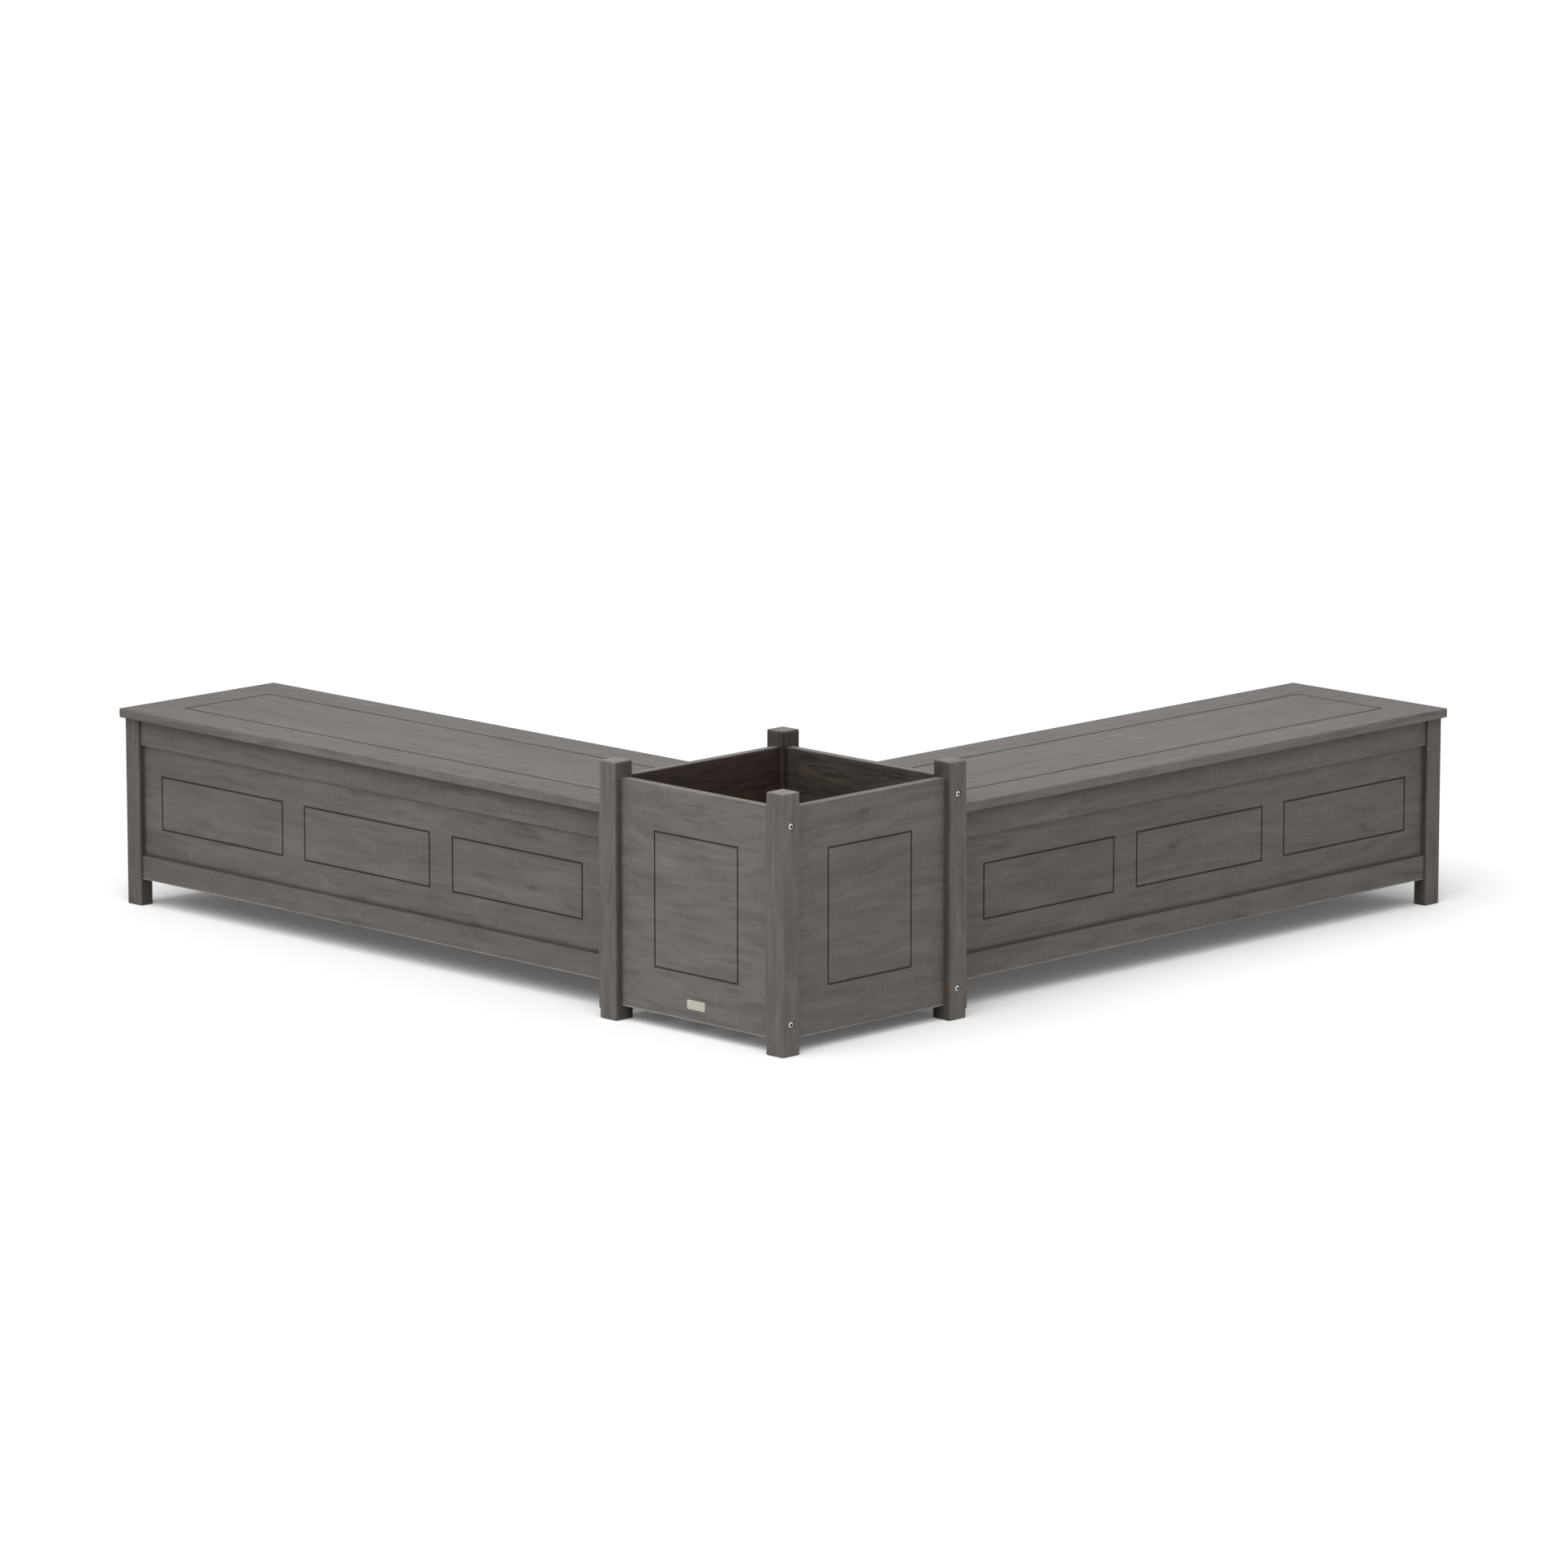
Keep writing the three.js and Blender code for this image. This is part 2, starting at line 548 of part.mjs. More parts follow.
function frontRail(z, isBottom) {
  const body = extruded(outline(railSection(isBottom)), LONG_CLEAR - 2 * FIT, 'x');
  body.translate(LEG_WIDTH + FIT, RAIL_RECESS, z);
  return join(body, [block(...longTenon(z))]);
}

// The section is drawn as [up, across] here, from the outer face of the bench end inwards.
function endRail(z, isBottom) {
  const corners = railSection(isBottom).map(([across, up, radius]) => [up, RAIL_THICKNESS - across, radius]);
  const body = extruded(outline(corners), DEEP_CLEAR - 2 * FIT, 'y');
  body.translate(FAR_INNER, LEG_DEPTH + FIT, z);
  return join(body, [block(...endTenon(z))]);
}

function frontPanel() {
  const fieldSpace = LONG_CLEAR - 2 * FIELD_END_MARGIN - (FIELD_COUNT - 1) * FIELD_GAP;
  const fieldWidth = fieldSpace / FIELD_COUNT;
  const fieldHeight = TOP_RAIL_BOTTOM - RAIL_TOP - 2 * FIELD_SIDE_MARGIN;
  const frames = [];
  for (let index = 0; index < FIELD_COUNT; index += 1) {
    const frame = routedFrame(fieldHeight, fieldWidth, GROOVE_DEPTH + OVERRUN, 'y');
    const x = LEG_WIDTH + FIELD_END_MARGIN + index * (fieldWidth + FIELD_GAP);
    frames.push(frame.translate(x, PANEL_RECESS - OVERRUN, RAIL_TOP + FIELD_SIDE_MARGIN));
  }
  return cut(block(...FRONT_PANEL_PLACE), frames);
}

function farEndPanel() {
  const fieldWidth = DEEP_CLEAR - 2 * FIELD_END_MARGIN;
  const fieldHeight = TOP_RAIL_BOTTOM - RAIL_TOP - 2 * FIELD_SIDE_MARGIN;
  const frame = routedFrame(fieldWidth, fieldHeight, GROOVE_DEPTH + OVERRUN, 'x');
  const face = BENCH_LENGTH - PANEL_RECESS - GROOVE_DEPTH;
  frame.translate(face, LEG_DEPTH + FIELD_END_MARGIN, RAIL_TOP + FIELD_SIDE_MARGIN);
  return cut(block(...END_PANEL_PLACE), [frame]);
}

// Back board: planks glued edge to edge, with a seam line between them, a groove for the bench floor and a
// rebate along the top for the hinge.
function backBoard() {
  const height = FRAME_TOP - RAIL_RAISE;
  const length = LONG_CLEAR - 2 * FIT;
  const start = LEG_WIDTH + FIT;
  const size = [length, BOARD_THICKNESS, height];
  const blank = block(size, [start, BACK_INNER, RAIL_RAISE], 'x', BOARD_EDGE_RADIUS);
  const tools = [clearance(...FLOOR_PLACE)];
  const rebateDepth = KNUCKLE_DIAMETER + FIT;
  const rebateWidth = LEAF_STANDOFF - KNUCKLE_DIAMETER / 2 + LEAF_WIDTH + FIT;
  tools.push(block([HINGE_RUN + 2 * FIT, rebateWidth + OVERRUN, rebateDepth + OVERRUN],
    [HINGE_START - FIT, BENCH_DEPTH - rebateWidth, FRAME_TOP - rebateDepth]));
  const half = SEAM_WIDTH / 2;
  for (let index = 1; index <= BOARD_SEAM_COUNT; index += 1) {
    const z = RAIL_RAISE + (height * index) / (BOARD_SEAM_COUNT + 1);
    const corners = [[-half, 0, 0], [half, -SEAM_WIDTH, 0], [half, SEAM_WIDTH, 0]];
    const seam = extruded(outline(corners), length + 2 * OVERRUN, 'x');
    tools.push(seam.translate(start - OVERRUN, BENCH_DEPTH, z));
  }
  return cut(blank, tools);
}

function nearEndBoard() {
  const size = [BOARD_THICKNESS, DEEP_CLEAR - 2 * FIT, FRAME_TOP - RAIL_RAISE];
  const blank = block(size, [RAIL_RECESS, LEG_DEPTH + FIT, RAIL_RAISE], 'y', BOARD_EDGE_RADIUS);
  return cut(blank, [clearance(...FLOOR_PLACE)]);
}

function benchFloor() {
  const legs = LEG_PLACES.map((place) => clearance(LEG_SIZE, [place.x, place.y, 0]));
  return cut(block(...FLOOR_PLACE), legs);
}

// Batten that ties the bench to the planter, between the planter wall and the bench's end board. It stops
// short of the planter's posts and of the bench's legs.
function joiningBatten() {
  const planterFace = PLANTER_SIDE - WALL_RECESS - BENCH_START;
  const start = Math.max(LEG_DEPTH, POST_SIDE - BENCH_SETBACK) + JOINING_BATTEN_MARGIN;
  const farPost = PLANTER_SIDE - POST_SIDE - BENCH_SETBACK;
  const end = Math.min(BENCH_DEPTH - LEG_DEPTH, farPost) - JOINING_BATTEN_MARGIN;
  const size = [RAIL_RECESS - planterFace - 2 * FIT, end - start, JOINING_BATTEN_HEIGHT];
  const z = Math.min(FRAME_TOP, WALL_TOP) - JOINING_BATTEN_HEIGHT;
  return block(size, [planterFace + FIT, start, z], 'y', BOARD_EDGE_RADIUS);
}

// Long hinge. The knuckles of the two leaves take turns along one pin, which the frame leaf's knuckles hold.

function knuckleRuns(first) {
  const pairs = Math.round(HINGE_RUN / KNUCKLE_LENGTH / 2);
  const count = 2 * pairs + 1;
  const pitch = HINGE_RUN / count;
  const runs = [];
  for (let index = first; index < count; index += 2) {
    runs.push([index * pitch + FIT / 2, pitch - FIT]);
  }
  return runs;
}

function leafPlate(z) {
  return block([HINGE_RUN, LEAF_WIDTH, LEAF_THICKNESS], [0, -LEAF_STANDOFF - LEAF_WIDTH, z]);
}

function leafTab(start, length, z) {
  const reach = LEAF_STANDOFF + LEAF_THICKNESS;
  return block([length, reach, LEAF_THICKNESS], [start, -reach, z]);
}

function frameLeaf() {
  const z = -KNUCKLE_DIAMETER / 2;
  const parts = [rod(HINGE_PIN_DIAMETER, HINGE_RUN, [0, 0, 0], 'x', KNUCKLE_SIDES)];
  for (const [start, length] of knuckleRuns(0)) {
    parts.push(rod(KNUCKLE_DIAMETER, length, [start, 0, 0], 'x', KNUCKLE_SIDES), leafTab(start, length, z));
  }
  return join(leafPlate(z), parts);
}

function lidLeaf() {
  const z = KNUCKLE_DIAMETER / 2 - LEAF_THICKNESS;
  const parts = [];
  for (const [start, length] of knuckleRuns(1)) {
    parts.push(rod(KNUCKLE_DIAMETER, length, [start, 0, 0], 'x', KNUCKLE_SIDES), leafTab(start, length, z));
  }
  const bore = rod(HINGE_PIN_DIAMETER + 2 * PIN_CLEARANCE, HINGE_RUN, [0, 0, 0], 'x', KNUCKLE_SIDES);
  return cut(join(leafPlate(z), parts), [bore]);
}

// Lid, with its zero point on the hinge axis at the near end of the bench

function lidBoard() {
  const size = [BENCH_LENGTH + 2 * LID_OVERHANG, BENCH_DEPTH + 2 * LID_OVERHANG, LID_THICKNESS];
  const corner = [-LID_OVERHANG, -LID_OVERHANG - HINGE_AXIS_Y, LID_UNDERSIDE - HINGE_AXIS_Z];
  const blank = block(size, corner, 'z', LID_CORNER_RADIUS, LID_EDGE_RADIUS);
  const frame = routedFrame(size[0] - 2 * LID_GROOVE_INSET, size[1] - 2 * LID_GROOVE_INSET,
    GROOVE_DEPTH + OVERRUN, 'z');
  const mouth = corner[2] + LID_THICKNESS - GROOVE_DEPTH;
  frame.translate(corner[0] + LID_GROOVE_INSET, corner[1] + LID_GROOVE_INSET, mouth);
  return cut(blank, [frame]);
}

function lidBatten(x) {
  const room = BACK_INNER - FRONT_INNER;
  const size = [BATTEN_WIDTH, room - 2 * BATTEN_END_CLEARANCE, BATTEN_HEIGHT];
  const y = FRONT_INNER + BATTEN_END_CLEARANCE - HINGE_AXIS_Y;
  const z = LID_UNDERSIDE - FIT - BATTEN_HEIGHT - HINGE_AXIS_Z;
  return block(size, [x, y, z], 'y', BATTEN_EDGE_RADIUS);
}

function benchLid(side) {
  const group = new THREE.Group();
  group.position.set(0, HINGE_AXIS_Y, HINGE_AXIS_Z);
  const nearBatten = LEG_WIDTH + BATTEN_INSET;
  const farBatten = BENCH_LENGTH - nearBatten - BATTEN_WIDTH;
  group.add(piece(`${side}_bench_lid`, lidBoard(), 'lid'));
  group.add(piece(`${side}_bench_lid_near_batten`, lidBatten(nearBatten), 'inner'));
  group.add(piece(`${side}_bench_lid_far_batten`, lidBatten(farBatten), 'inner'));
  group.add(piece(`${side}_bench_hinge_lid_leaf`, lidLeaf().translate(HINGE_START, 0, 0), 'steel'));
  return group;
}

function bench(side) {
  const group = new THREE.Group();
  for (const place of LEG_PLACES) {
    group.add(piece(`${side}_bench_${place.name}_leg`, benchLeg(place), 'post'));
  }
  const parts = [
    ['front_top_rail', frontRail(TOP_RAIL_BOTTOM, false), 'rail'],
    ['front_bottom_rail', frontRail(RAIL_RAISE, true), 'rail'],
    ['front_panel', frontPanel(), 'panel'],
    ['far_end_top_rail', endRail(TOP_RAIL_BOTTOM, false), 'rail'],
    ['far_end_bottom_rail', endRail(RAIL_RAISE, true), 'rail'],
    ['far_end_panel', farEndPanel(), 'panel'],
    ['near_end_board', nearEndBoard(), 'panel'],
    ['back_board', backBoard(), 'panel'],
    ['floor_board', benchFloor(), 'inner'],
    ['joining_batten', joiningBatten(), 'inner'],
    ['hinge_frame_leaf', frameLeaf().translate(HINGE_START, HINGE_AXIS_Y, HINGE_AXIS_Z), 'steel'],
  ];
  for (const [name, geometry, finish] of parts) {
    group.add(piece(`${side}_bench_${name}`, geometry, finish));
  }
  group.add(benchLid(side));
  return group;
}

// The left bench is the right one mirrored across the corner's diagonal: X and Y change places.
function mirrorAcrossDiagonal(group) {
  const swap = new THREE.Matrix4().set(0, 1, 0, 0, 1, 0, 0, 0, 0, 0, 1, 0, 0, 0, 0, 1);
  group.traverse((object) => {
    object.position.applyMatrix4(swap);
    if (object.isMesh) {
      object.geometry.applyMatrix4(swap);
      object.geometry.index.array.reverse();
      object.geometry.computeVertexNormals();
    }
  });
}

const rightBench = bench('right');
rightBench.position.set(BENCH_START, BENCH_SETBACK, 0);

const leftBench = bench('left');
leftBench.position.set(BENCH_START, BENCH_SETBACK, 0);
mirrorAcrossDiagonal(leftBench);

const benchWithPlanter = new THREE.Group();
benchWithPlanter.add(planter(), rightBench, leftBench);
benchWithPlanter.position.set(-WHOLE_SIDE / 2, -WHOLE_SIDE / 2, 0);

export default benchWithPlanter;
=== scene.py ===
# %% [markdown]
# # Bench with planter
#
# A corner seat in grey weathered wood. A square planter box stands at the corner, and a storage
# bench with a hinged lid runs off each of two of its sides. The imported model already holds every
# board at its place and size. This file shapes finer boards over those places, gives each one a
# grain of its own, and lights the seat in a white studio, seen from the front of the corner.

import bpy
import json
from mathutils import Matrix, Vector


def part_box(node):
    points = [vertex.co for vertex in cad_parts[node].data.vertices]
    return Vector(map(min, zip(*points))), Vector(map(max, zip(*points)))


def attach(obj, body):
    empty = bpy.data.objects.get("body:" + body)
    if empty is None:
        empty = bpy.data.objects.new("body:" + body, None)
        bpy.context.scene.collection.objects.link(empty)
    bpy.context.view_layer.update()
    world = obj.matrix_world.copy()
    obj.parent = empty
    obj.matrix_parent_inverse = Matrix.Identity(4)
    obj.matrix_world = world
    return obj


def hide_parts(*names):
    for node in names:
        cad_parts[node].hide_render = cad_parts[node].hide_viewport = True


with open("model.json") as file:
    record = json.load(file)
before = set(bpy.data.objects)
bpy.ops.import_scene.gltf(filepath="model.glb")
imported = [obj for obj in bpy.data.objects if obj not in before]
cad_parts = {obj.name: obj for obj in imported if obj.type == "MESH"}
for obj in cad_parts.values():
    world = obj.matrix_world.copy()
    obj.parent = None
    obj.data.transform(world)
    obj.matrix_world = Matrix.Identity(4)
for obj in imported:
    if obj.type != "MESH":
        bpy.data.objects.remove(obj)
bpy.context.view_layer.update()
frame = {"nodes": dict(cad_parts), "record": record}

# %% Libraries, units and axes
import json
import math
import random
from contextlib import contextmanager

import bmesh
import bpy
from mathutils import Vector

MM = 0.001
X, Y, Z = 0, 1, 2

body_of_node = {
    node: body
    for body, nodes in frame["record"]["behaviour"]["bodies"].items()
    for node in nodes
}

# %% [markdown]
# ## The camera
#
# The camera stands in front of the corner, a little above eye height, about seventeen metres away
# with a long lens. Its place and its lens were worked out from the corners of the seat, so that
# they fall where they should in the picture. A long lens from far away keeps the two benches
# almost free of perspective, which is how furniture is often shown.

# %% Place the camera
CAMERA_PLACE = (-12.2078, -12.2218, 3.6275)
CAMERA_PITCH = math.radians(79.0234)
CAMERA_HEADING = math.radians(-44.9726)
CAMERA_LENS = 182.26
CLIP_END = 200
SENSOR_WIDTH = 36.0

bpy.ops.object.camera_add(location=CAMERA_PLACE, rotation=(CAMERA_PITCH, 0, CAMERA_HEADING))
camera = bpy.context.active_object
camera.data.lens = CAMERA_LENS
camera.data.sensor_width = SENSOR_WIDTH
camera.data.clip_end = CLIP_END
bpy.context.scene.camera = camera
print("camera distance:", round(camera.location.length, 2), "m")

# %% [markdown]
# ## Selecting by place
#
# A person at the screen clicks on edges and faces. A script selects them by a test instead: which
# way an edge runs, or which way a face looks and where it lies. A few small helpers do that.
# `alone` makes one object the only one selected, `editing` enters edit mode for a while, `pick`
# selects the elements of its mesh that pass a test, and `bevel` rounds the edges it has picked.

# %% Helpers that select
ALMOST_ONE = 0.999


def alone(piece):
    """Make this object the active one, and the only one selected."""
    bpy.ops.object.select_all(action="DESELECT")
    piece.select_set(True)
    bpy.context.view_layer.objects.active = piece


@contextmanager
def editing():
    """Edit mode for the active object, and object mode again afterwards."""
    bpy.ops.object.mode_set(mode="EDIT")
    yield
    bpy.ops.object.mode_set(mode="OBJECT")


def pick(piece, kind, test):
    """In edit mode, select the faces, edges or corners that pass the test, and count them."""
    bpy.ops.mesh.select_mode(type=kind)
    bpy.ops.mesh.select_all(action="DESELECT")
    work = bmesh.from_edit_mesh(piece.data)
    elements = {"FACE": work.faces, "EDGE": work.edges, "VERT": work.verts}[kind]
    chosen = [element for element in elements if test(element)]
    for element in chosen:
        element.select_set(True)
    work.select_flush_mode()
    bmesh.update_edit_mesh(piece.data)
    return len(chosen)


def bevel(piece, radius, segments, test):
    """In edit mode, round the edges that pass the test."""
    pick(piece, "EDGE", test)
    bpy.ops.mesh.bevel(offset=radius, segments=segments, affect="EDGES")


def looks_along(face, axis, side):
    """True if the face is square to the axis, and looks to its given side."""
    return face.normal[axis] * side > ALMOST_ONE


def runs_along(edge, axis):
    """True if the edge is parallel to the axis."""
    step = edge.verts[1].co - edge.verts[0].co
    return abs(step[axis]) > ALMOST_ONE * step.length


# %% [markdown]
# ## Boards
#
# Every board starts as a cube at the place and size of its node. Its long edges get the round-over
# that a router gives them, and its two ends a smaller one. A real edge is never sharp, and the thin
# bright line that a rounded edge catches is what makes wood look solid.
#
# Each flat face then gets a narrow border. The knife and the loop cut need a screen, but `bisect`
# doesn't: it parts the mesh along a plane, and unlike an inset it can't fold over in a round
# corner. The border keeps the shading flat up to the round-over, and takes a third of a board that
# is too thin for more. It also carries a value named `worn`, which is 1 along the edges and fades
# to 0 inside the border, for the material to read.

# %% Shape a board
EDGE_SEGMENTS = 4
END_SEGMENTS = 3
END_RADIUS = 0.6 * MM
WORN_BORDER = 4 * MM
SAME_PLACE = 0.01 * MM


def settled(name):
    """Name the active object and its mesh, and apply its place, turn and size to the mesh."""
    piece = bpy.context.active_object
    piece.name = piece.data.name = name
    alone(piece)
    bpy.ops.object.transform_apply(location=True, rotation=True, scale=True)
    return piece


def blank(name, low, high):
    """A block between two corners."""
    bpy.ops.mesh.primitive_cube_add(size=1, location=(low + high) / 2, scale=high - low)
    return settled(name)


def at_an_end(edge, axis, low, high):
    """True if both corners of the edge lie in the same end of the board."""
    first, second = (vert.co[axis] for vert in edge.verts)
    return abs(first - second) < SAME_PLACE and not low + SAME_PLACE <= first <= high - SAME_PLACE


def slice_at(axis, place):
    """Part the whole mesh along a plane that is square to the axis."""
    bpy.ops.mesh.select_all(action="SELECT")
    point, normal = [0, 0, 0], [0, 0, 0]
    point[axis], normal[axis] = place, 1
    bpy.ops.mesh.bisect(plane_co=point, plane_no=normal)


def border(piece, axis, low, high, radius, end_radius):
    """Cut a border into each flat face, and store how worn each corner of the mesh is."""
    inner = {}
    for across in (X, Y, Z):
        edge = end_radius if across == axis else radius
        margin = min(edge + WORN_BORDER, (high[across] - low[across]) / 3)
        inner[across] = low[across] + margin, high[across] - margin
        for place in inner[across]:
            slice_at(across, place)
    work = bmesh.from_edit_mesh(piece.data)
    worn = work.verts.layers.float.new("worn")
    for vert in work.verts:
        within = [
            start - SAME_PLACE < vert.co[across] < end + SAME_PLACE
            for across, (start, end) in inner.items()
        ]
        vert[worn] = 0.0 if sum(within) >= 2 else 1.0
    bmesh.update_edit_mesh(piece.data)


def board(name, low, high, axis, radius, end_radius=END_RADIUS):
    """A board with rounded edges along an axis, rounded ends, and a border on its flat faces."""
    piece = blank(name, low, high)
    with editing():
        bevel(piece, radius, EDGE_SEGMENTS, lambda edge: runs_along(edge, axis))
        bevel(piece, end_radius, END_SEGMENTS,
              lambda edge: at_an_end(edge, axis, low[axis], high[axis]))
        border(piece, axis, low, high, radius, end_radius)
    return piece


# %% [markdown]
# ## Routed lines
#
# The walls, panels and lids carry thin rectangles that a router cuts into the flat face. For each
# one, eight more cuts with `bisect` part the face along the two outlines of the line. The ring of
# faces between them is selected, and one inset with a negative depth sinks it into a groove with
# sloping walls. The bottom of the groove carries a value named `routed`, where the material darkens
# it with painted shade and with stain gathered there.

# %% Helper that routs
ROUTER_WIDTH = 4.6 * MM
ROUTER_DEPTH = 3 * MM
ROUTER_SLOPE = 0.8 * MM


def inside(point, rectangle):
    """True if the point lies between the limits of every axis that the rectangle names."""
    return all(low < point[axis] < high for axis, (low, high) in rectangle.items())


def shrunk(rectangle, margin):
    """The rectangle, smaller by the margin on each side."""
    return {axis: (low + margin, high - margin) for axis, (low, high) in rectangle.items()}


def rout(piece, axis, side, rectangles, width=ROUTER_WIDTH):
    """Sink the outlines of some rectangles into the face that looks to one side of the axis."""
    inner = [shrunk(rectangle, width) for rectangle in rectangles]

    def on_a_line(face):
        middle = face.calc_center_median()
        return looks_along(face, axis, side) and any(
            inside(middle, large) and not inside(middle, small)
            for large, small in zip(rectangles, inner)
        )

    alone(piece)
    with editing():
        for outline in (*rectangles, *inner):
            for across, places in outline.items():
                for place in places:
                    slice_at(across, place)
        count = pick(piece, "FACE", on_a_line)
        bpy.ops.mesh.inset(thickness=ROUTER_SLOPE, depth=-ROUTER_DEPTH)
        work = bmesh.from_edit_mesh(piece.data)
        routed = work.verts.layers.float.new("routed")
        for face in work.faces:
            if face.select:
                for vert in face.verts:
                    vert[routed] = 1.0
        bmesh.update_edit_mesh(piece.data)
    return count


# %% [markdown]
# `carve` cuts a solid out of a piece. A drill is a cylinder that is carved out. `weld` is the
# opposite: it joins two solids into one, and takes away the faces that end up inside.

# %% Carve, weld, drill and copy
HOLE_SIDES = 40
ALONG_AXIS = {X: (0, math.pi / 2, 0), Y: (math.pi / 2, 0, 0), Z: (0, 0, 0)}


def carve(piece, other, operation="DIFFERENCE"):
    """Cut another solid out of a piece."""
    alone(piece)
    modifier = piece.modifiers.new("solids", "BOOLEAN")
    modifier.operation = operation
    modifier.solver = "EXACT"
    modifier.object = other
    bpy.ops.object.modifier_apply(modifier=modifier.name)
    bpy.data.objects.remove(other)


def weld(piece, other):
    """Join another solid to a piece."""
    carve(piece, other, "UNION")


def rod(name, axis, middle, length, radius, sides=HOLE_SIDES):
    """A cylinder along an axis."""
    bpy.ops.mesh.primitive_cylinder_add(
        vertices=sides, radius=radius, depth=length, location=middle, rotation=ALONG_AXIS[axis]
    )
    return settled(name)


def drill(piece, axis, mouth, depth, radius):
    """Drill a round hole along an axis, as deep as the given depth on both sides of its mouth."""
    carve(piece, rod("drill", axis, mouth, 2 * depth, radius))


def placed_copy(piece, name, location=(0, 0, 0), rotation=(0, 0, 0), scale=(1, 1, 1)):
    """A copy of a piece with a mesh of its own, scaled, turned and moved."""
    alone(piece)
    bpy.ops.object.duplicate()
    copy = bpy.context.active_object
    copy.location, copy.rotation_euler, copy.scale = location, rotation, scale
    return settled(name)


# %% [markdown]
# ## Colours and node helpers
#
# Colours are written as they look on a screen, from 0 to 255, and turned into the linear values
# that shaders use. A tint is already linear, because a colour is multiplied by it.
#
# `put` adds a shader node with its settings and inputs, and `calc` adds a sum. The other helpers
# build on them, so that a material below reads like a recipe.

# %% Colours
def paint(red, green, blue):
    """A linear colour from screen values."""
    def linear(value):
        share = value / 255
        return share / 12.92 if share <= 0.04045 else ((share + 0.055) / 1.055) ** 2.4
    return (linear(red), linear(green), linear(blue), 1.0)


def even(value):
    """A grey, or a tint that leaves the hue as it is."""
    return (value, value, value, 1.0)


# %% Shader helpers
def feed(tree, sockets, values):
    """Give each named socket its value, or link it to the output socket that feeds it."""
    for name, value in values.items():
        if isinstance(value, bpy.types.NodeSocket):
            tree.links.new(value, sockets[name])
        else:
            sockets[name].default_value = value


def put(tree, kind, inputs=None, **settings):
    """Add a node. Each input is a value, or the output socket that feeds it."""
    node = tree.nodes.new("ShaderNode" + kind)
    for name, value in settings.items():
        setattr(node, name, value)
    feed(tree, node.inputs, inputs or {})
    return node


def calc(tree, operation, *values, clamp=False):
    """Add a Math node, and return its output."""
    inputs = dict(enumerate(values))
    return put(tree, "Math", inputs, operation=operation, use_clamp=clamp).outputs[0]


def swing(tree, value, weight):
    """A noise value, moved to swing round zero, times its weight."""
    return calc(tree, "MULTIPLY", calc(tree, "SUBTRACT", value, 0.5), weight)


def vector_calc(tree, operation, first, second):
    """Add a Vector Math node, and return its output."""
    return put(tree, "VectorMath", {0: first, 1: second}, operation=operation).outputs[0]


def ramp(tree, value, start, end, low=0.0, high=1.0):
    """Add a smooth Map Range from start..end to low..high."""
    inputs = {"Value": value, "From Min": start, "From Max": end, "To Min": low, "To Max": high}
    return put(tree, "MapRange", inputs, interpolation_type="SMOOTHSTEP").outputs["Result"]


def blend(tree, share, first, second, mode="MIX"):
    """Add a colour Mix, and return its output."""
    inputs = {0: share, 6: first, 7: second}
    node = put(tree, "Mix", inputs, data_type="RGBA", blend_type=mode, clamp_result=True)
    return node.outputs[2]


def tinted(tree, colour, tint):
    """Multiply a colour by another one."""
    return blend(tree, 1.0, colour, tint, mode="MULTIPLY")


def dimmed(tree, colour, tone):
    """Multiply a colour by one value."""
    grey = put(tree, "CombineColor", {"Red": tone, "Green": tone, "Blue": tone}).outputs[0]
    return tinted(tree, colour, grey)


def noise(tree, vector, along, across, detail=2.0, roughness=0.5):
    """Noise whose frequency along and across the grain is given per metre."""
    scaled = vector_calc(tree, "MULTIPLY", vector, (along, across, across))
    inputs = {"Vector": scaled, "Scale": 1.0, "Detail": detail, "Roughness": roughness}
    return put(tree, "TexNoise", inputs).outputs["Fac"]


# %% Start a group or a material
def new_group(name, inputs, outputs):
    """Start a node group with named sockets. Returns it, what it is given, and its results."""
    group = bpy.data.node_groups.new(name, "ShaderNodeTree")
    for direction, sockets in (("INPUT", inputs), ("OUTPUT", outputs)):
        for socket_name, kind in sockets.items():
            group.interface.new_socket(
                socket_name, in_out=direction, socket_type="NodeSocket" + kind
            )
    given, result = (group.nodes.new("NodeGroup" + end) for end in ("Input", "Output"))
    return group, given.outputs, result.inputs


def new_material(name):
    """Start a material. Returns it, its node tree and the sockets of its shader."""
    material = bpy.data.materials.new(name)
    material.use_nodes = True
    return material, material.node_tree, material.node_tree.nodes["Principled BSDF"].inputs


# %% [markdown]
# ## Weathered wood
#
# The wood is a light timber under a grey-brown stain, a few seasons old. Seen from a few steps
# away, its surface is quiet. Looked at closely it has many things in it, and most of them come from
# a noise that is stretched by its own amounts along and across the grain:
#
# - bands a hand's width tall, and softer clouds inside them, where the stain took more or less
# - ripples a finger wide, and darker flames that end in a point, where the grain dips inwards
# - a few small knots, dark and blurred
# - growth rings, which make long arches on a flat board
# - streaks a few millimetres wide, and the fibres between them
# - short dark pores, gathered in patches
# - very faint marks across the grain, left by the sander
#
# The group works in board coordinates, where X runs along the grain. A slow drift bends them first,
# because no grain runs quite straight. The group gives a colour, a roughness and a height for the
# bump, and a mask of rough streaks, for boards that nobody has smoothed.

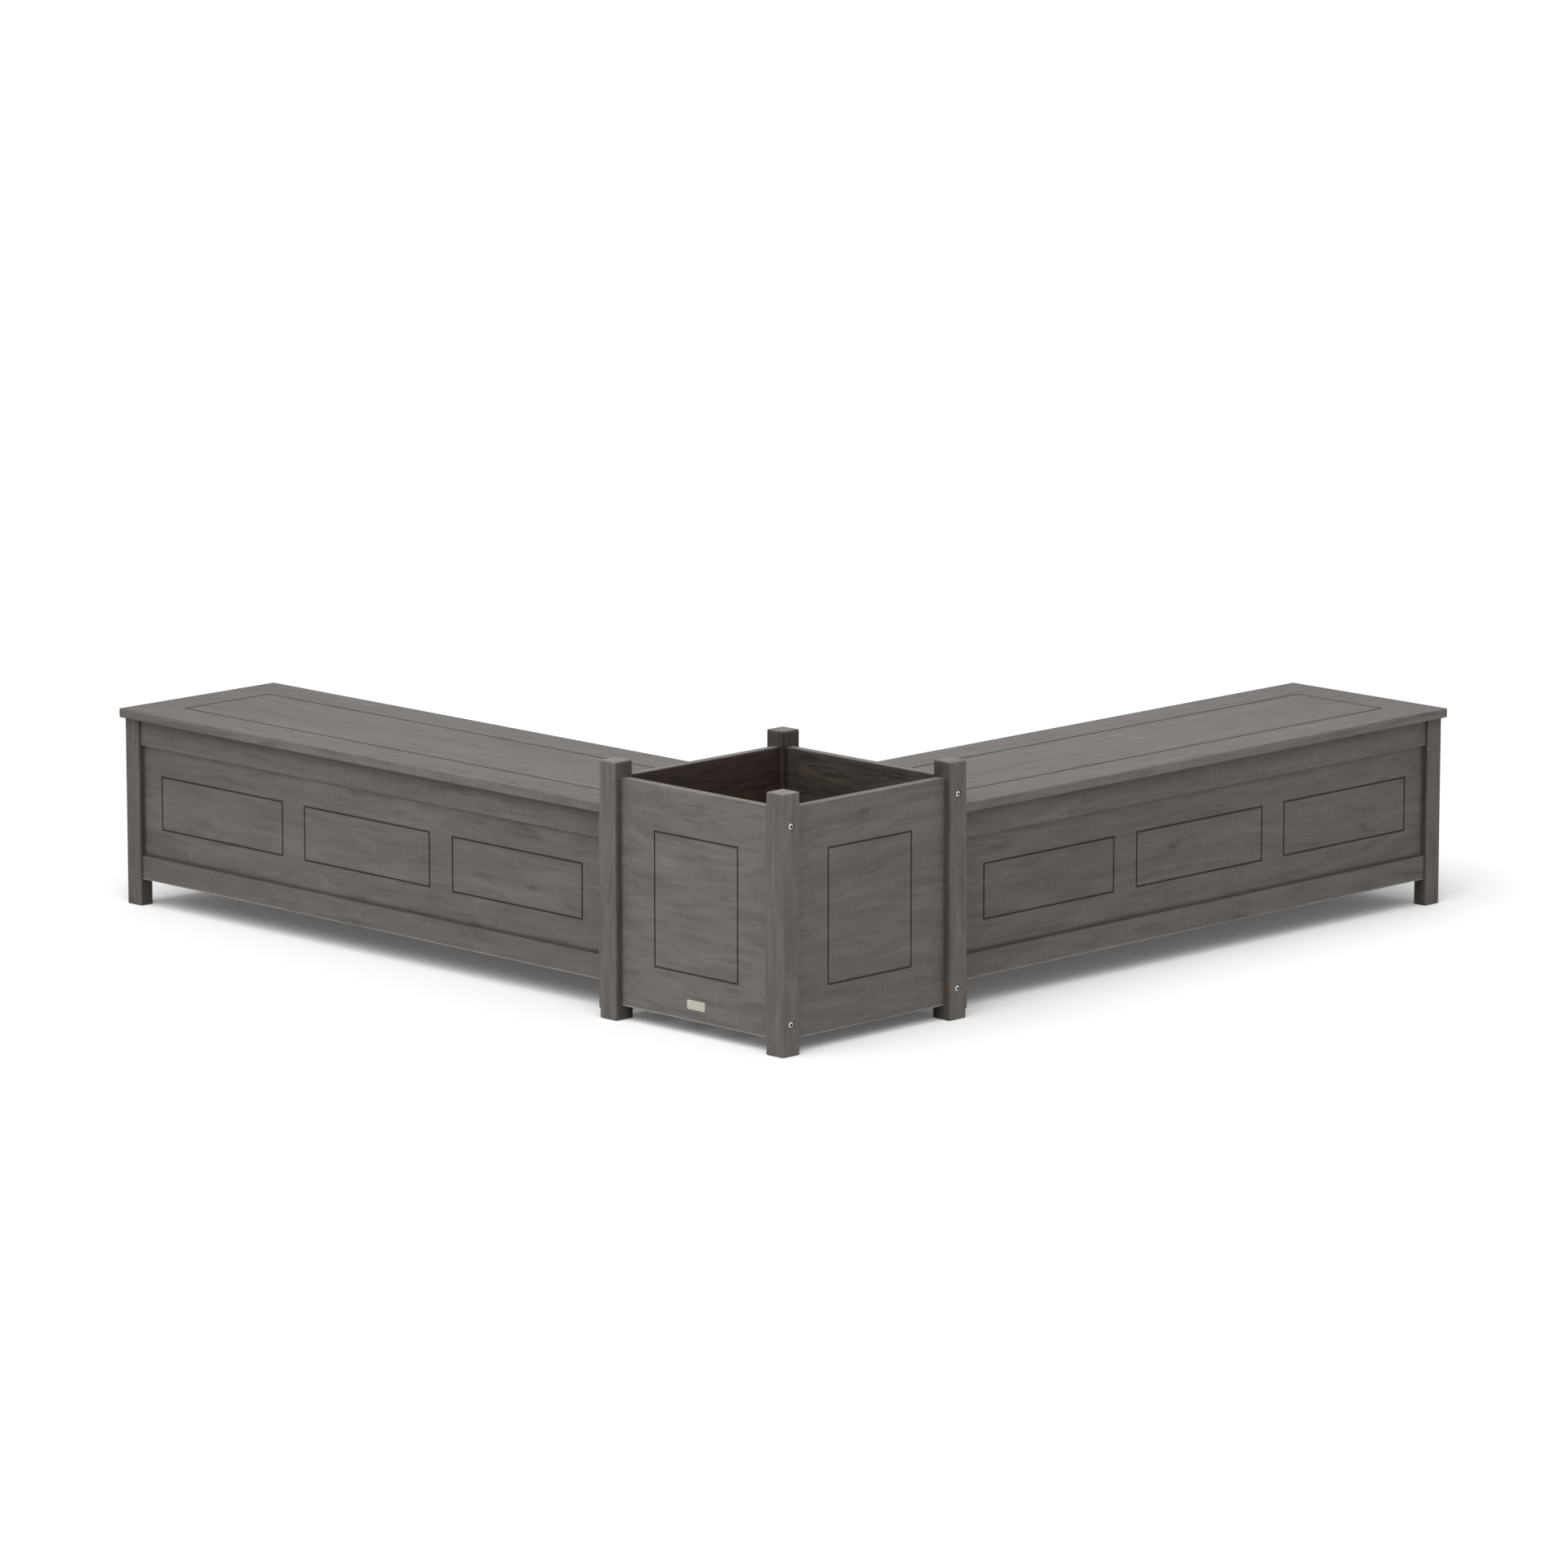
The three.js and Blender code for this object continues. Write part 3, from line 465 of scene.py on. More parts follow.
# %% Bend the grain, and draw a noise for each layer
# A layer's frequency per metre along and across the grain, then its detail and its roughness.
DRIFT = (1.6, 3.5)
DRIFT_SIZE = 0.09
LAYERS = {
    "bands": (1.4, 12, 2.0, 0.5),
    "clouds": (6.5, 36, 3.0, 0.55),
    "ripples": (8.5, 66, 3.0, 0.55),
    "licks": (7.0, 60, 4.0, 0.6),
    "wavers": (3.0, 26, 3.0, 0.5),
    "streaks": (5.5, 190, 4.0, 0.6),
    "fibres": (34, 1100, 2.0, 0.5),
    "patches": (2.1, 13, 3.0, 0.6),
    "pores": (15, 330, 2.0, 0.5),
    "sanding": (230, 24, 3.0, 0.5),
    "warmth": (1.7, 15, 2.0, 0.5),
    "rough": (16, 230, 3.0, 0.6),
}

wood_group, given, result = new_group(
    "weathered_wood",
    {"Vector": "Vector", "Stain": "Color", "Figure": "Float", "Streaks": "Float"},
    {"Color": "Color", "Roughness": "Float", "Height": "Float", "Rough streaks": "Float"},
)
bend = swing(wood_group, noise(wood_group, given["Vector"], *DRIFT), DRIFT_SIZE)
sideways = put(wood_group, "CombineXYZ", {"Y": bend, "Z": bend}).outputs[0]
grain = vector_calc(wood_group, "ADD", given["Vector"], sideways)
layers = {name: noise(wood_group, grain, *settings) for name, settings in LAYERS.items()}
print("layers of noise:", len(layers))

# %% Flames, pores and knots
FLAME_EDGE, FLAME_BANDS = (0.53, 0.68), (0.36, 0.60)
PORE_EDGE, PORE_PATCHES = (0.62, 0.74), (0.48, 0.66)
KNOT_CELLS = (6.0, 13.0, 13.0)
KNOT_REACH = 0.17
KNOT_BLUR = 0.35
KNOT_LUCK = (0.55, 0.75)

flames = calc(wood_group, "MULTIPLY", ramp(wood_group, layers["licks"], *FLAME_EDGE),
              ramp(wood_group, layers["bands"], *FLAME_BANDS))
pores = calc(wood_group, "MULTIPLY", ramp(wood_group, layers["pores"], *PORE_EDGE),
             ramp(wood_group, layers["patches"], *PORE_PATCHES))
cells = vector_calc(wood_group, "MULTIPLY", grain, KNOT_CELLS)
spots = put(wood_group, "TexVoronoi", {"Vector": cells, "Scale": 1.0}).outputs
luck = put(wood_group, "SeparateColor", {0: spots["Color"]}).outputs["Red"]
blurred = calc(wood_group, "ADD", spots["Distance"], swing(wood_group, layers["licks"], KNOT_BLUR))
knots = calc(wood_group, "MULTIPLY", ramp(wood_group, blurred, KNOT_REACH, 0.0),
             ramp(wood_group, luck, *KNOT_LUCK))
print("wood nodes with knots:", len(wood_group.nodes))

# %% Growth rings
RINGS_PER_METRE = 46.0
PITH_DEPTH = 0.16
RING_WAVER = 1.6
RING_SHARPNESS = 2.4

parts = put(wood_group, "SeparateXYZ", {0: grain}).outputs
depth = calc(wood_group, "ADD", parts[Z], PITH_DEPTH)
squares = [calc(wood_group, "MULTIPLY", side, side) for side in (parts[Y], depth)]
reach = calc(wood_group, "SQRT", calc(wood_group, "ADD", *squares))
turns = calc(wood_group, "ADD", calc(wood_group, "MULTIPLY", reach, RINGS_PER_METRE),
             calc(wood_group, "MULTIPLY", layers["wavers"], RING_WAVER))
rings = calc(wood_group, "POWER", calc(wood_group, "FRACT", turns), RING_SHARPNESS)
print("wood nodes with rings:", len(wood_group.nodes))

# %% Weigh the layers against each other
BASE_TONE = 1.10
LIGHTER_OR_DARKER = {"bands": 0.46, "clouds": 0.78, "ripples": 0.60, "patches": 0.34,
                     "fibres": 0.30, "sanding": 0.36, "streaks": given["Streaks"]}
ONLY_DARKER = ((flames, 0.28), (pores, 0.34), (knots, 0.42), (rings, given["Figure"]))
WARM_TINT = (1.0, 0.98, 0.955, 1.0)
WARM_EDGE = (0.4, 0.7)

tone = BASE_TONE
for name, weight in LIGHTER_OR_DARKER.items():
    tone = calc(wood_group, "ADD", tone, swing(wood_group, layers[name], weight))
for layer, weight in ONLY_DARKER:
    tone = calc(wood_group, "SUBTRACT", tone, calc(wood_group, "MULTIPLY", layer, weight))
coloured = dimmed(wood_group, given["Stain"], tone)
warmer = tinted(wood_group, coloured, WARM_TINT)
warmth = ramp(wood_group, layers["warmth"], *WARM_EDGE)
feed(wood_group, result, {"Color": blend(wood_group, warmth, coloured, warmer)})

# %% Roughness, height and rough streaks
ROUGHNESS, ROUGHNESS_SWING = 0.68, 0.3
STREAK_HEIGHT, FIBRE_HEIGHT = 0.6, 0.4
ROUGH_EDGE = (0.42, 0.60)

shine = swing(wood_group, layers["clouds"], ROUGHNESS_SWING)
raised, fine = (
    calc(wood_group, "MULTIPLY", layers[name], weight)
    for name, weight in (("streaks", STREAK_HEIGHT), ("fibres", FIBRE_HEIGHT))
)
height = calc(wood_group, "ADD", calc(wood_group, "SUBTRACT", raised, pores), fine)
feed(wood_group, result, {
    "Roughness": calc(wood_group, "ADD", shine, ROUGHNESS),
    "Height": height,
    "Rough streaks": ramp(wood_group, layers["rough"], *ROUGH_EDGE),
})
print("wood nodes:", len(wood_group.nodes))

# %% [markdown]
# ## Wear, painted shade, and stain in the routed lines
#
# Three things change the colour from outside the grain. Hands and rain rub the stain thin along
# the edges, so those are a little paler. The bottom of the routed lines is dark, with painted shade
# and with stain gathered there. And painted shade darkens the corners between two boards, and the
# inside of the planter.
#
# The last one is a soft box: a mask that is 1 inside a box in the object's own coordinates, and
# falls to 0 towards its sides.

# %% Group for wear, and for painted shade and stain in the routed lines
RUBS = (14, 40)
RUBBED_EDGE = (0.30, 0.62)
RUBBED_LIFT = (0.12, 0.115, 0.11, 1.0)
ROUTED_EDGE = (0.0, 0.45)
# Painted shade at the bottom of the routed lines, with stain gathered there.
GROOVE_SHADE_AND_STAIN_TINT = (0.45, 0.405, 0.36, 1.0)

wear_group, given, result = new_group(
    "edge_wear_and_routed_lines",
    {"Vector": "Vector", "Color": "Color", "Worn": "Float", "Routed": "Float", "Pale": "Float"},
    {"Color": "Color"},
)
rubbed = ramp(wear_group, noise(wear_group, given["Vector"], *RUBS), *RUBBED_EDGE)
for name in ("Worn", "Pale"):
    rubbed = calc(wear_group, "MULTIPLY", rubbed, given[name])
lighter = blend(wear_group, 1.0, given["Color"], RUBBED_LIFT, mode="SCREEN")
worn_colour = blend(wear_group, rubbed, given["Color"], lighter)
darker = tinted(wear_group, worn_colour, GROOVE_SHADE_AND_STAIN_TINT)
line_share = ramp(wear_group, given["Routed"], *ROUTED_EDGE)
feed(wear_group, result, {"Color": blend(wear_group, line_share, worn_colour, darker)})
print("wear nodes:", len(wear_group.nodes))

# %% Group for a soft box
box_group, given, result = new_group(
    "soft_box",
    {"Vector": "Vector", "Low corner": "Vector", "High corner": "Vector", "Softness": "Float"},
    {"Mask": "Float"},
)
mask = 1.0
for first, second in (("Vector", "Low corner"), ("High corner", "Vector")):
    room = vector_calc(box_group, "SUBTRACT", given[first], given[second])
    for part in put(box_group, "SeparateXYZ", {0: room}).outputs:
        share = calc(box_group, "DIVIDE", part, given["Softness"])
        mask = calc(box_group, "MULTIPLY", mask, ramp(box_group, share, 0.0, 1.0))
feed(box_group, result, {"Mask": mask})
print("box nodes:", len(box_group.nodes))

# %% [markdown]
# ## Painted shade and light
#
# A shade paints shade or light onto a board. It is a box, how soft its sides are, a colour to
# multiply by, and whether it darkens or lightens the inside of the box or what lies outside of it.
# A panel, for example, gets one that darkens what lies outside a box a little smaller than the
# panel: a dark border of painted shade, next to the rails and legs that hold it.

# %% Shades
FAR = 10.0
INSIDE, OUTSIDE = "inside", "outside"


def limits(low, high, axes):
    """The corners of the box, with no limits along the axes that aren't named."""
    return (
        [low[axis] if axis in axes else -FAR for axis in (X, Y, Z)],
        [high[axis] if axis in axes else FAR for axis in (X, Y, Z)],
    )


def slab(axis, start, end):
    """The corners of a box that has limits along one axis only."""
    return limits({axis: start}, {axis: end}, [axis])


def band(axis, middle, reach, tint):
    """A shade on both sides of one place on an axis."""
    return slab(axis, middle - reach, middle + reach), reach, tint, INSIDE


def shade(colour, tree, place, box, softness, tint, side, share_of=1.0):
    """Darken a colour inside or outside a soft box, all over or only by a given share."""
    inputs = {"Vector": place, "Low corner": box[0], "High corner": box[1], "Softness": softness}
    share = put(tree, "Group", inputs, node_tree=box_group).outputs["Mask"]
    if side == OUTSIDE:
        share = calc(tree, "SUBTRACT", 1.0, share)
    share = calc(tree, "MULTIPLY", share, share_of)
    return blend(tree, share, colour, tinted(tree, colour, tint))


# %% [markdown]
# ## A material for each board
#
# No two boards come from the same place in the tree. So each one has a material of its own, made
# from the same groups: a Mapping node turns its grain to lie along the board and moves it to
# another part of the noise, and its stain is a touch paler or darker than its neighbour's.
#
# A wide piece that is glued up from planks changes its grain and its tone at each seam. A group
# cuts the height into steps, and each step moves the noise and draws its own tone.

# %% Group for planks
PLANK_SHIFT = (2.7, 1.3, 0.9)
PLANK_TONE_SWING = 0.16

plank_group, given, result = new_group(
    "planks",
    {"Vector": "Vector", "Height": "Float", "Start": "Float", "Pitch": "Float"},
    {"Vector": "Vector", "Tone": "Float"},
)
above = calc(plank_group, "SUBTRACT", given["Height"], given["Start"])
step = calc(plank_group, "FLOOR", calc(plank_group, "DIVIDE", above, given["Pitch"]))
shifts = [calc(plank_group, "MULTIPLY", step, amount) for amount in PLANK_SHIFT]
shift = put(plank_group, "CombineXYZ", dict(enumerate(shifts))).outputs[0]
chance = put(plank_group, "TexWhiteNoise", {"W": step}, noise_dimensions="1D").outputs["Value"]
feed(plank_group, result, {
    "Vector": vector_calc(plank_group, "ADD", given["Vector"], shift),
    "Tone": calc(plank_group, "ADD", swing(plank_group, chance, PLANK_TONE_SWING), 1.0),
})
print("plank nodes:", len(plank_group.nodes))

# %% Wood materials
STAIN = (110, 105, 101)
STAIN_SWING = 0.02
GRAIN_SHIFT = 4
GRAIN_TURN = {X: (0, 0, 0), Y: (0, 0, -math.pi / 2), Z: (0, math.pi / 2, 0)}
BUMP_STRENGTH = 0.4
BUMP_DISTANCE = 0.4 * MM
draw = random.Random(7)


def wood(name, along, figure=0.07, streaks=0.5, pale=0.2, stain=STAIN, shades=(), planks=None,
         rough=None):
    """A material for one board, with its grain along an axis.

    `shades` paint shade or light onto parts of it, `planks` is where its seams start and how far
    apart they are, and `rough` is the box in which its rough streaks show.
    """
    material, tree, shader = new_material(name)
    place = put(tree, "TexCoord").outputs["Object"]
    shift = [draw.uniform(-GRAIN_SHIFT, GRAIN_SHIFT) for _ in range(3)]
    turned = {"Vector": place, "Location": shift, "Rotation": GRAIN_TURN[along]}
    grain = put(tree, "Mapping", turned).outputs[0]
    if planks:
        height = put(tree, "SeparateXYZ", {0: place}).outputs[Z]
        steps = {"Vector": grain, "Height": height, "Start": planks[0], "Pitch": planks[1]}
        boards = put(tree, "Group", steps, node_tree=plank_group).outputs
        grain = boards["Vector"]
    tint = 1 + draw.uniform(-STAIN_SWING, STAIN_SWING)
    colour = paint(*(value * tint for value in stain))
    looks = {"Vector": grain, "Stain": colour, "Figure": figure, "Streaks": streaks}
    timber = put(tree, "Group", looks, node_tree=wood_group).outputs
    colour = timber["Color"]
    if planks:
        colour = dimmed(tree, colour, boards["Tone"])
    # Painted shade and painted light.
    for one in shades:
        colour = shade(colour, tree, place, *one)
    if rough:
        colour = shade(colour, tree, place, *rough, share_of=timber["Rough streaks"])
    wear = {"Vector": grain, "Color": colour, "Pale": pale}
    for value in ("Worn", "Routed"):
        stored = put(tree, "Attribute", attribute_name=value.lower())
        wear[value] = stored.outputs["Fac"]
    relief = {"Height": timber["Height"], "Strength": BUMP_STRENGTH, "Distance": BUMP_DISTANCE}
    feed(tree, shader, {
        "Base Color": put(tree, "Group", wear, node_tree=wear_group).outputs["Color"],
        "Roughness": timber["Roughness"],
        "Normal": put(tree, "Bump", relief).outputs[0],
    })
    return material


# %% Dress a piece
SMOOTH_ANGLE = math.radians(38)


def dress(piece, node, material):
    """Shade a finished piece, and let it stand for its node on the body that carries it."""
    alone(piece)
    bpy.ops.object.shade_smooth_by_angle(angle=SMOOTH_ANGLE)
    piece.data.materials.clear()
    piece.data.materials.append(material)
    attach(piece, body_of_node[node])
    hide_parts(node)


def dress_board(piece, node, slot, along, **looks):
    """Dress a board in a wood of its own, with its grain along an axis."""
    dress(piece, node, wood(f"{node}_wood", along, **looks))


# %% [markdown]
# ## The planter
#
# Four square posts with eased edges stand at the corners. The walls between them stand back from
# the posts' outer faces and stop short of the ground. Each wall has a slightly eased rim, and one
# routed rectangle. Its ends reach a little way into the posts, in place of the tongues of the
# imported model, so that no corner of the joint is open.
#
# Inside the planter, right up to the rim, the wood is dark brown with painted shade, and so are
# the back post's two inner faces, the right one most of all. Beside the walls, the posts have a
# dark strip of painted shade, and so have the ends of the walls. The end grain on top of the posts
# has a painted highlight, brightest on the front post. The lower edges of the walls have a thin
# pale line, a painted highlight.

# %% The room inside the planter
front_low, front_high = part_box("planter_front_post")
back_low, back_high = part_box("planter_back_post")
plated_low, plated_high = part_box("planter_left_front_wall")
side_wall_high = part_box("planter_right_front_wall")[1]
SHADE_SOFTNESS = 5 * MM

inner_low = Vector((plated_high.x, side_wall_high.y, -FAR))
inner_high = Vector((
    front_low.x + back_high.x - inner_low.x,
    front_low.y + back_high.y - inner_low.y,
    plated_high.z,
))
grow = Vector((SHADE_SOFTNESS,) * 3)
planter_box = [*(inner_low - grow)], [*(inner_high + grow)]
print("room inside, mm:", [round(v / MM) for v in (inner_high - inner_low).xy])

# %% Painted shade and light on the planter, and its rough streaks
# Painted shade inside the planter: dark brown, darkest on the left back wall and the back post.
INNER_SHADE_TINT = (0.50, 0.43, 0.375, 1.0)
LEFT_WALL_SHADE_TINT = (0.318, 0.207, 0.148, 1.0)
BACK_POST_SHADE_TINT = (0.63, 0.51, 0.45, 1.0)
# Painted shade on the back post's right inner face.
BACK_FACE_SHADE_TINT = (0.76, 0.64, 0.57, 1.0)
ROUGH_TINT = (0.48, 0.44, 0.41, 1.0)
# Painted shade in strips on the posts beside the walls.
STRIP_REACH = 6 * MM
STRIP_SHADE_TINT = (0.62, 0.56, 0.52, 1.0)
BACK_STRIP_SHADE_TINT = (0.44, 0.40, 0.37, 1.0)
# A painted highlight along the lower edges of the walls and bottom rails.
FOOT_REACH = 2.8 * MM
FOOT_SOFTNESS = 0.6 * MM
FOOT_HIGHLIGHT_TINT = even(2.3)


def inside_planter(tint):
    """A tint over the room inside the planter, for its painted shade and for its rough streaks."""
    return planter_box, SHADE_SOFTNESS, tint, INSIDE


def strip_shades(low, high, tint):
    """Painted shade: dark strips on the two faces of a post that the walls meet."""
    middle = (front_low + back_high) / 2
    return [
        band(axis, high[axis] if low[axis] < middle[axis] else low[axis], STRIP_REACH, tint)
        for axis in (X, Y)
    ]


def painted_top_highlight(high, reach, brightness):
    """A painted highlight on the top."""
    return slab(Z, high.z - reach, FAR), reach, even(brightness), INSIDE


def painted_foot_highlight(low):
    """A painted highlight: a thin pale line along the lower edge of a wall or a rail."""
    return slab(Z, -FAR, low.z + FOOT_REACH), FOOT_SOFTNESS, FOOT_HIGHLIGHT_TINT, INSIDE


# %% Where the bolts go in
HEADS_LOOK = {"front": -1, "right": -1, "left": 1, "back": 1}
LEVELS = ("lower", "upper")


def bolt_mouth(post_name, level):
    """Where the axis of a bolt crosses the outer face of its post."""
    post_low, post_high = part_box(f"planter_{post_name}_post")
    bolt_low, bolt_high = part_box(f"planter_{post_name}_{level}_bolt")
    mouth = (bolt_low + bolt_high) / 2
    mouth.y = post_low.y if HEADS_LOOK[post_name] < 0 else post_high.y
    return mouth


print("front lower bolt, mm:", [round(v / MM) for v in bolt_mouth("front", "lower")])

# %% Planter posts
POST_RADIUS = 4.5 * MM
POST_END_RADIUS = 2.9 * MM
POST_STAINS = {"front": (102, 97, 93), "right": (98, 93, 89), "left": (104, 99, 95),
               "back": (105, 100, 96)}
UPRIGHT_GRAIN = {"figure": 0.1, "streaks": 0.7}
# Painted highlights on the tops of the posts, brightest on the front post.
TOP_HIGHLIGHT = {"front": 2.15, "right": 1.85, "left": 1.75, "back": 1.50}
TOP_HIGHLIGHT_REACH = 1.2 * MM
COUNTERBORE_RADIUS = 8.2 * MM
COUNTERBORE_DEPTH = 4.5 * MM

for post_name in HEADS_LOOK:
    node = f"planter_{post_name}_post"
    low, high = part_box(node)
    post = board(f"{node}_timber", low, high, Z, POST_RADIUS, POST_END_RADIUS)
    for level in LEVELS:
        drill(post, Y, bolt_mouth(post_name, level), COUNTERBORE_DEPTH, COUNTERBORE_RADIUS)
    at_back = post_name == "back"
    # Painted shade inside the planter and beside the walls, and a painted highlight on the top.
    shades = [
        inside_planter(BACK_POST_SHADE_TINT if at_back else INNER_SHADE_TINT),
        *strip_shades(low, high, BACK_STRIP_SHADE_TINT if at_back else STRIP_SHADE_TINT),
        painted_top_highlight(high, TOP_HIGHLIGHT_REACH, TOP_HIGHLIGHT[post_name]),
    ]
    # Painted shade on the back post's right inner face, which is darker than its left one.
    if at_back:
        shades.append(band(Y, back_low.y, SHADE_SOFTNESS, BACK_FACE_SHADE_TINT))
    dress_board(post, node, "post_wood", Z, stain=POST_STAINS[post_name], shades=shades,
                **UPRIGHT_GRAIN)
print("posts:", len(HEADS_LOOK), "faces in one:", len(post.data.polygons))

# %% Room for the joints
JOINT_REACH = 1.5 * MM


def reaching(low, high, axes):
    """The corners of the box, moved out into its neighbours along some axes."""
    reach = [JOINT_REACH * (axis in axes) for axis in (X, Y, Z)]
    return (
        Vector([place - step for place, step in zip(low, reach)]),
        Vector([place + step for place, step in zip(high, reach)]),
    )


# %% Planter walls
WALL_RADIUS = 1.3 * MM
WALL_GROOVE_INSET = 96 * MM
# Painted shade at the ends of the walls, next to the posts.
WALL_END_REACH = 7 * MM
WALL_END_SHADE_TINT = (0.80, 0.77, 0.75, 1.0)
# A painted highlight along the rim of each wall.
WALL_TOP_REACH = 0.9 * MM
WALL_TOP_BRIGHTNESS = 1.35
# The right front wall's stain is darker than the others': painted shade on the side that gets less
# light.
WALL_SHADE_STAINS = {"right_front": (102, 97, 93)}
WALL_INNER_SHADE_TINTS = {"left_back": LEFT_WALL_SHADE_TINT}
WALLS = {"left_front": (Y, X, -1), "right_back": (Y, X, 1), "right_front": (X, Y, -1),
         "left_back": (X, Y, 1)}

for wall_name, (along, axis, side) in WALLS.items():
    node = f"planter_{wall_name}_wall"
    low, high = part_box(node)
    low[along], high[along] = front_high[along], back_low[along]
    wall = board(f"{node}_timber", *reaching(low, high, [along]), along, WALL_RADIUS)
    face = {along: (low[along], high[along]), Z: (low.z, high.z)}
    rout(wall, axis, side, [shrunk(face, WALL_GROOVE_INSET)])
    # Painted shade at the ends and inside, and painted highlights along the rim and the foot.
    shades = [
        (limits(low, high, [along]), WALL_END_REACH, WALL_END_SHADE_TINT, OUTSIDE),
        inside_planter(WALL_INNER_SHADE_TINTS.get(wall_name, INNER_SHADE_TINT)),
        painted_top_highlight(high, WALL_TOP_REACH, WALL_TOP_BRIGHTNESS),
        painted_foot_highlight(low),
    ]
    dress_board(wall, node, "wall_wood", along, pale=0.0, stain=WALL_SHADE_STAINS.get(wall_name, STAIN),
                shades=shades, rough=inside_planter(ROUGH_TINT))
print("walls:", len(WALLS))

# %% Planter floor
FLOOR_STAIN = (92, 80, 70)
FLOOR_RADIUS = 2 * MM
FLOOR_STRIPS = ("left_cleat", "right_cleat", "slat_1", "slat_2", "slat_3", "slat_4")

for part in FLOOR_STRIPS:
    node = f"planter_floor_{part}"
    along = Y if "cleat" in part else X
    strip = board(f"{node}_timber", *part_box(node), along, FLOOR_RADIUS)
    dress_board(strip, node, "inner_wood", along, stain=FLOOR_STAIN)
print("floor strips:", len(FLOOR_STRIPS))

# %% [markdown]
# ## Bolts and cross nuts
#
# Each post is held to its wall by two connector bolts. The domed head lies in a counterbore, and
# its thread catches a cross nut: a short steel rod that lies across it, inside the wall. The holes
# that the nuts went in by are plugged and stained over, so that nothing shows of them.
#
# The dome could be half a squashed sphere. Here it grows out of the rim by insets, each one a
# little narrower and a little higher than the last, so that the rings follow an ellipse. The socket
# is a hexagonal rod, carved out. One bolt is modelled at the middle of the floor with its head up,
# and eight copies are turned into place.
#
# Zinc plating is bright, slightly mottled and a little rough. The group also takes a mask for
# recesses, where painted shadow makes it nearly black.

# %% Zinc plating
ZINC_DULL, ZINC_BRIGHT = paint(196, 195, 191), paint(232, 231, 227)
# Near black in the recesses: painted shadow.
RECESS_SHADOW = paint(40, 37, 34)
SPANGLE, BLOOM = (460, 460), (120, 120, 3.0)
BLOOM_EDGE = (0.38, 0.64)
ZINC_ROUGHNESS, ZINC_MOTTLE = 0.18, 0.25

zinc_group, given, result = new_group(
    "zinc_plating",
    {"Vector": "Vector", "Recess": "Float"},
    {"Color": "Color", "Roughness": "Float", "Height": "Float"},
)
spangle = noise(zinc_group, given["Vector"], *SPANGLE)
bloom = noise(zinc_group, given["Vector"], *BLOOM)
zinc = blend(zinc_group, ramp(zinc_group, bloom, *BLOOM_EDGE), ZINC_DULL, ZINC_BRIGHT)
mottle = calc(zinc_group, "MULTIPLY", spangle, ZINC_MOTTLE)
feed(zinc_group, result, {
    "Color": blend(zinc_group, given["Recess"], zinc, RECESS_SHADOW),
    "Roughness": calc(zinc_group, "ADD", mottle, ZINC_ROUGHNESS),
    "Height": spangle,
})

# %% Steel
SPANGLE_STRENGTH = 0.3
SPANGLE_HEIGHT = 0.03 * MM

steel, tree, shader = new_material("zinc_plated_steel")
place = put(tree, "TexCoord").outputs["Object"]
recess = put(tree, "Attribute", attribute_name="recess").outputs["Fac"]
plating = put(tree, "Group", {"Vector": place, "Recess": recess}, node_tree=zinc_group).outputs
relief = {"Height": plating["Height"], "Strength": SPANGLE_STRENGTH, "Distance": SPANGLE_HEIGHT}
feed(tree, shader, {
    "Metallic": 1.0,
    "Base Color": plating["Color"],
    "Roughness": plating["Roughness"],
    "Normal": put(tree, "Bump", relief).outputs[0],
})
print("steel nodes:", len(tree.nodes))


def mark(piece, name, test):
    """Store 1 at the corners of the mesh that pass a test, and 0 at the others."""
    layer = piece.data.attributes.new(name, "FLOAT", "POINT")
    marks = [1.0 if test(vert.co) else 0.0 for vert in piece.data.vertices]
    layer.data.foreach_set("value", marks)


# %% Model the head and the shank
HEAD_SIDES = 48
HEAD_RADIUS = 7.4 * MM
HEAD_SINK = 0.1 * MM
HEAD_DOME = 2.7 * MM
HEAD_RIM = 1.2 * MM
DOME_ANGLES = [math.radians(angle) for angle in (90, 77, 64, 52, 41, 32)]
SHANK_RADIUS = 3 * MM
BOLT_TIP = 90 * MM
SOCKET_RADIUS = 3.4 * MM
SOCKET_BOTTOM = 3.4 * MM

rim_top = -HEAD_SINK - HEAD_DOME
shank_length = BOLT_TIP + rim_top - HEAD_RIM
bolt = rod("connector_bolt", Z, (0, 0, rim_top - HEAD_RIM / 2), HEAD_RIM, HEAD_RADIUS, HEAD_SIDES)
with editing():
    pick(bolt, "FACE", lambda face: looks_along(face, Z, 1))
    for before, after in zip(DOME_ANGLES, DOME_ANGLES[1:]):
        step = HEAD_RADIUS * (math.sin(before) - math.sin(after))
        rise = HEAD_DOME * (math.cos(after) - math.cos(before))
        bpy.ops.mesh.inset(thickness=step, depth=rise)
    pick(bolt, "FACE", lambda face: looks_along(face, Z, -1))
    bpy.ops.mesh.inset(thickness=HEAD_RADIUS - SHANK_RADIUS)
    bpy.ops.mesh.extrude_region_move(TRANSFORM_OT_translate={"value": (0, 0, -shank_length)})
carve(bolt, rod("hexagon_key", Z, (0, 0, 0), 2 * SOCKET_BOTTOM, SOCKET_RADIUS, sides=6))
print("faces of the head and shank:", len(bolt.data.polygons))

# %% Model the cross nut
NUT_DISTANCE = 83 * MM
NUT_RADIUS = 5 * MM
NUT_LENGTH = 12 * MM
NUT_BEVEL = 0.5 * MM
SLOT_WIDTH = 1.3 * MM
SLOT_DEPTH = 1.2 * MM
SOCKET_SPARE = 1.05
RIM_SEGMENTS = 2

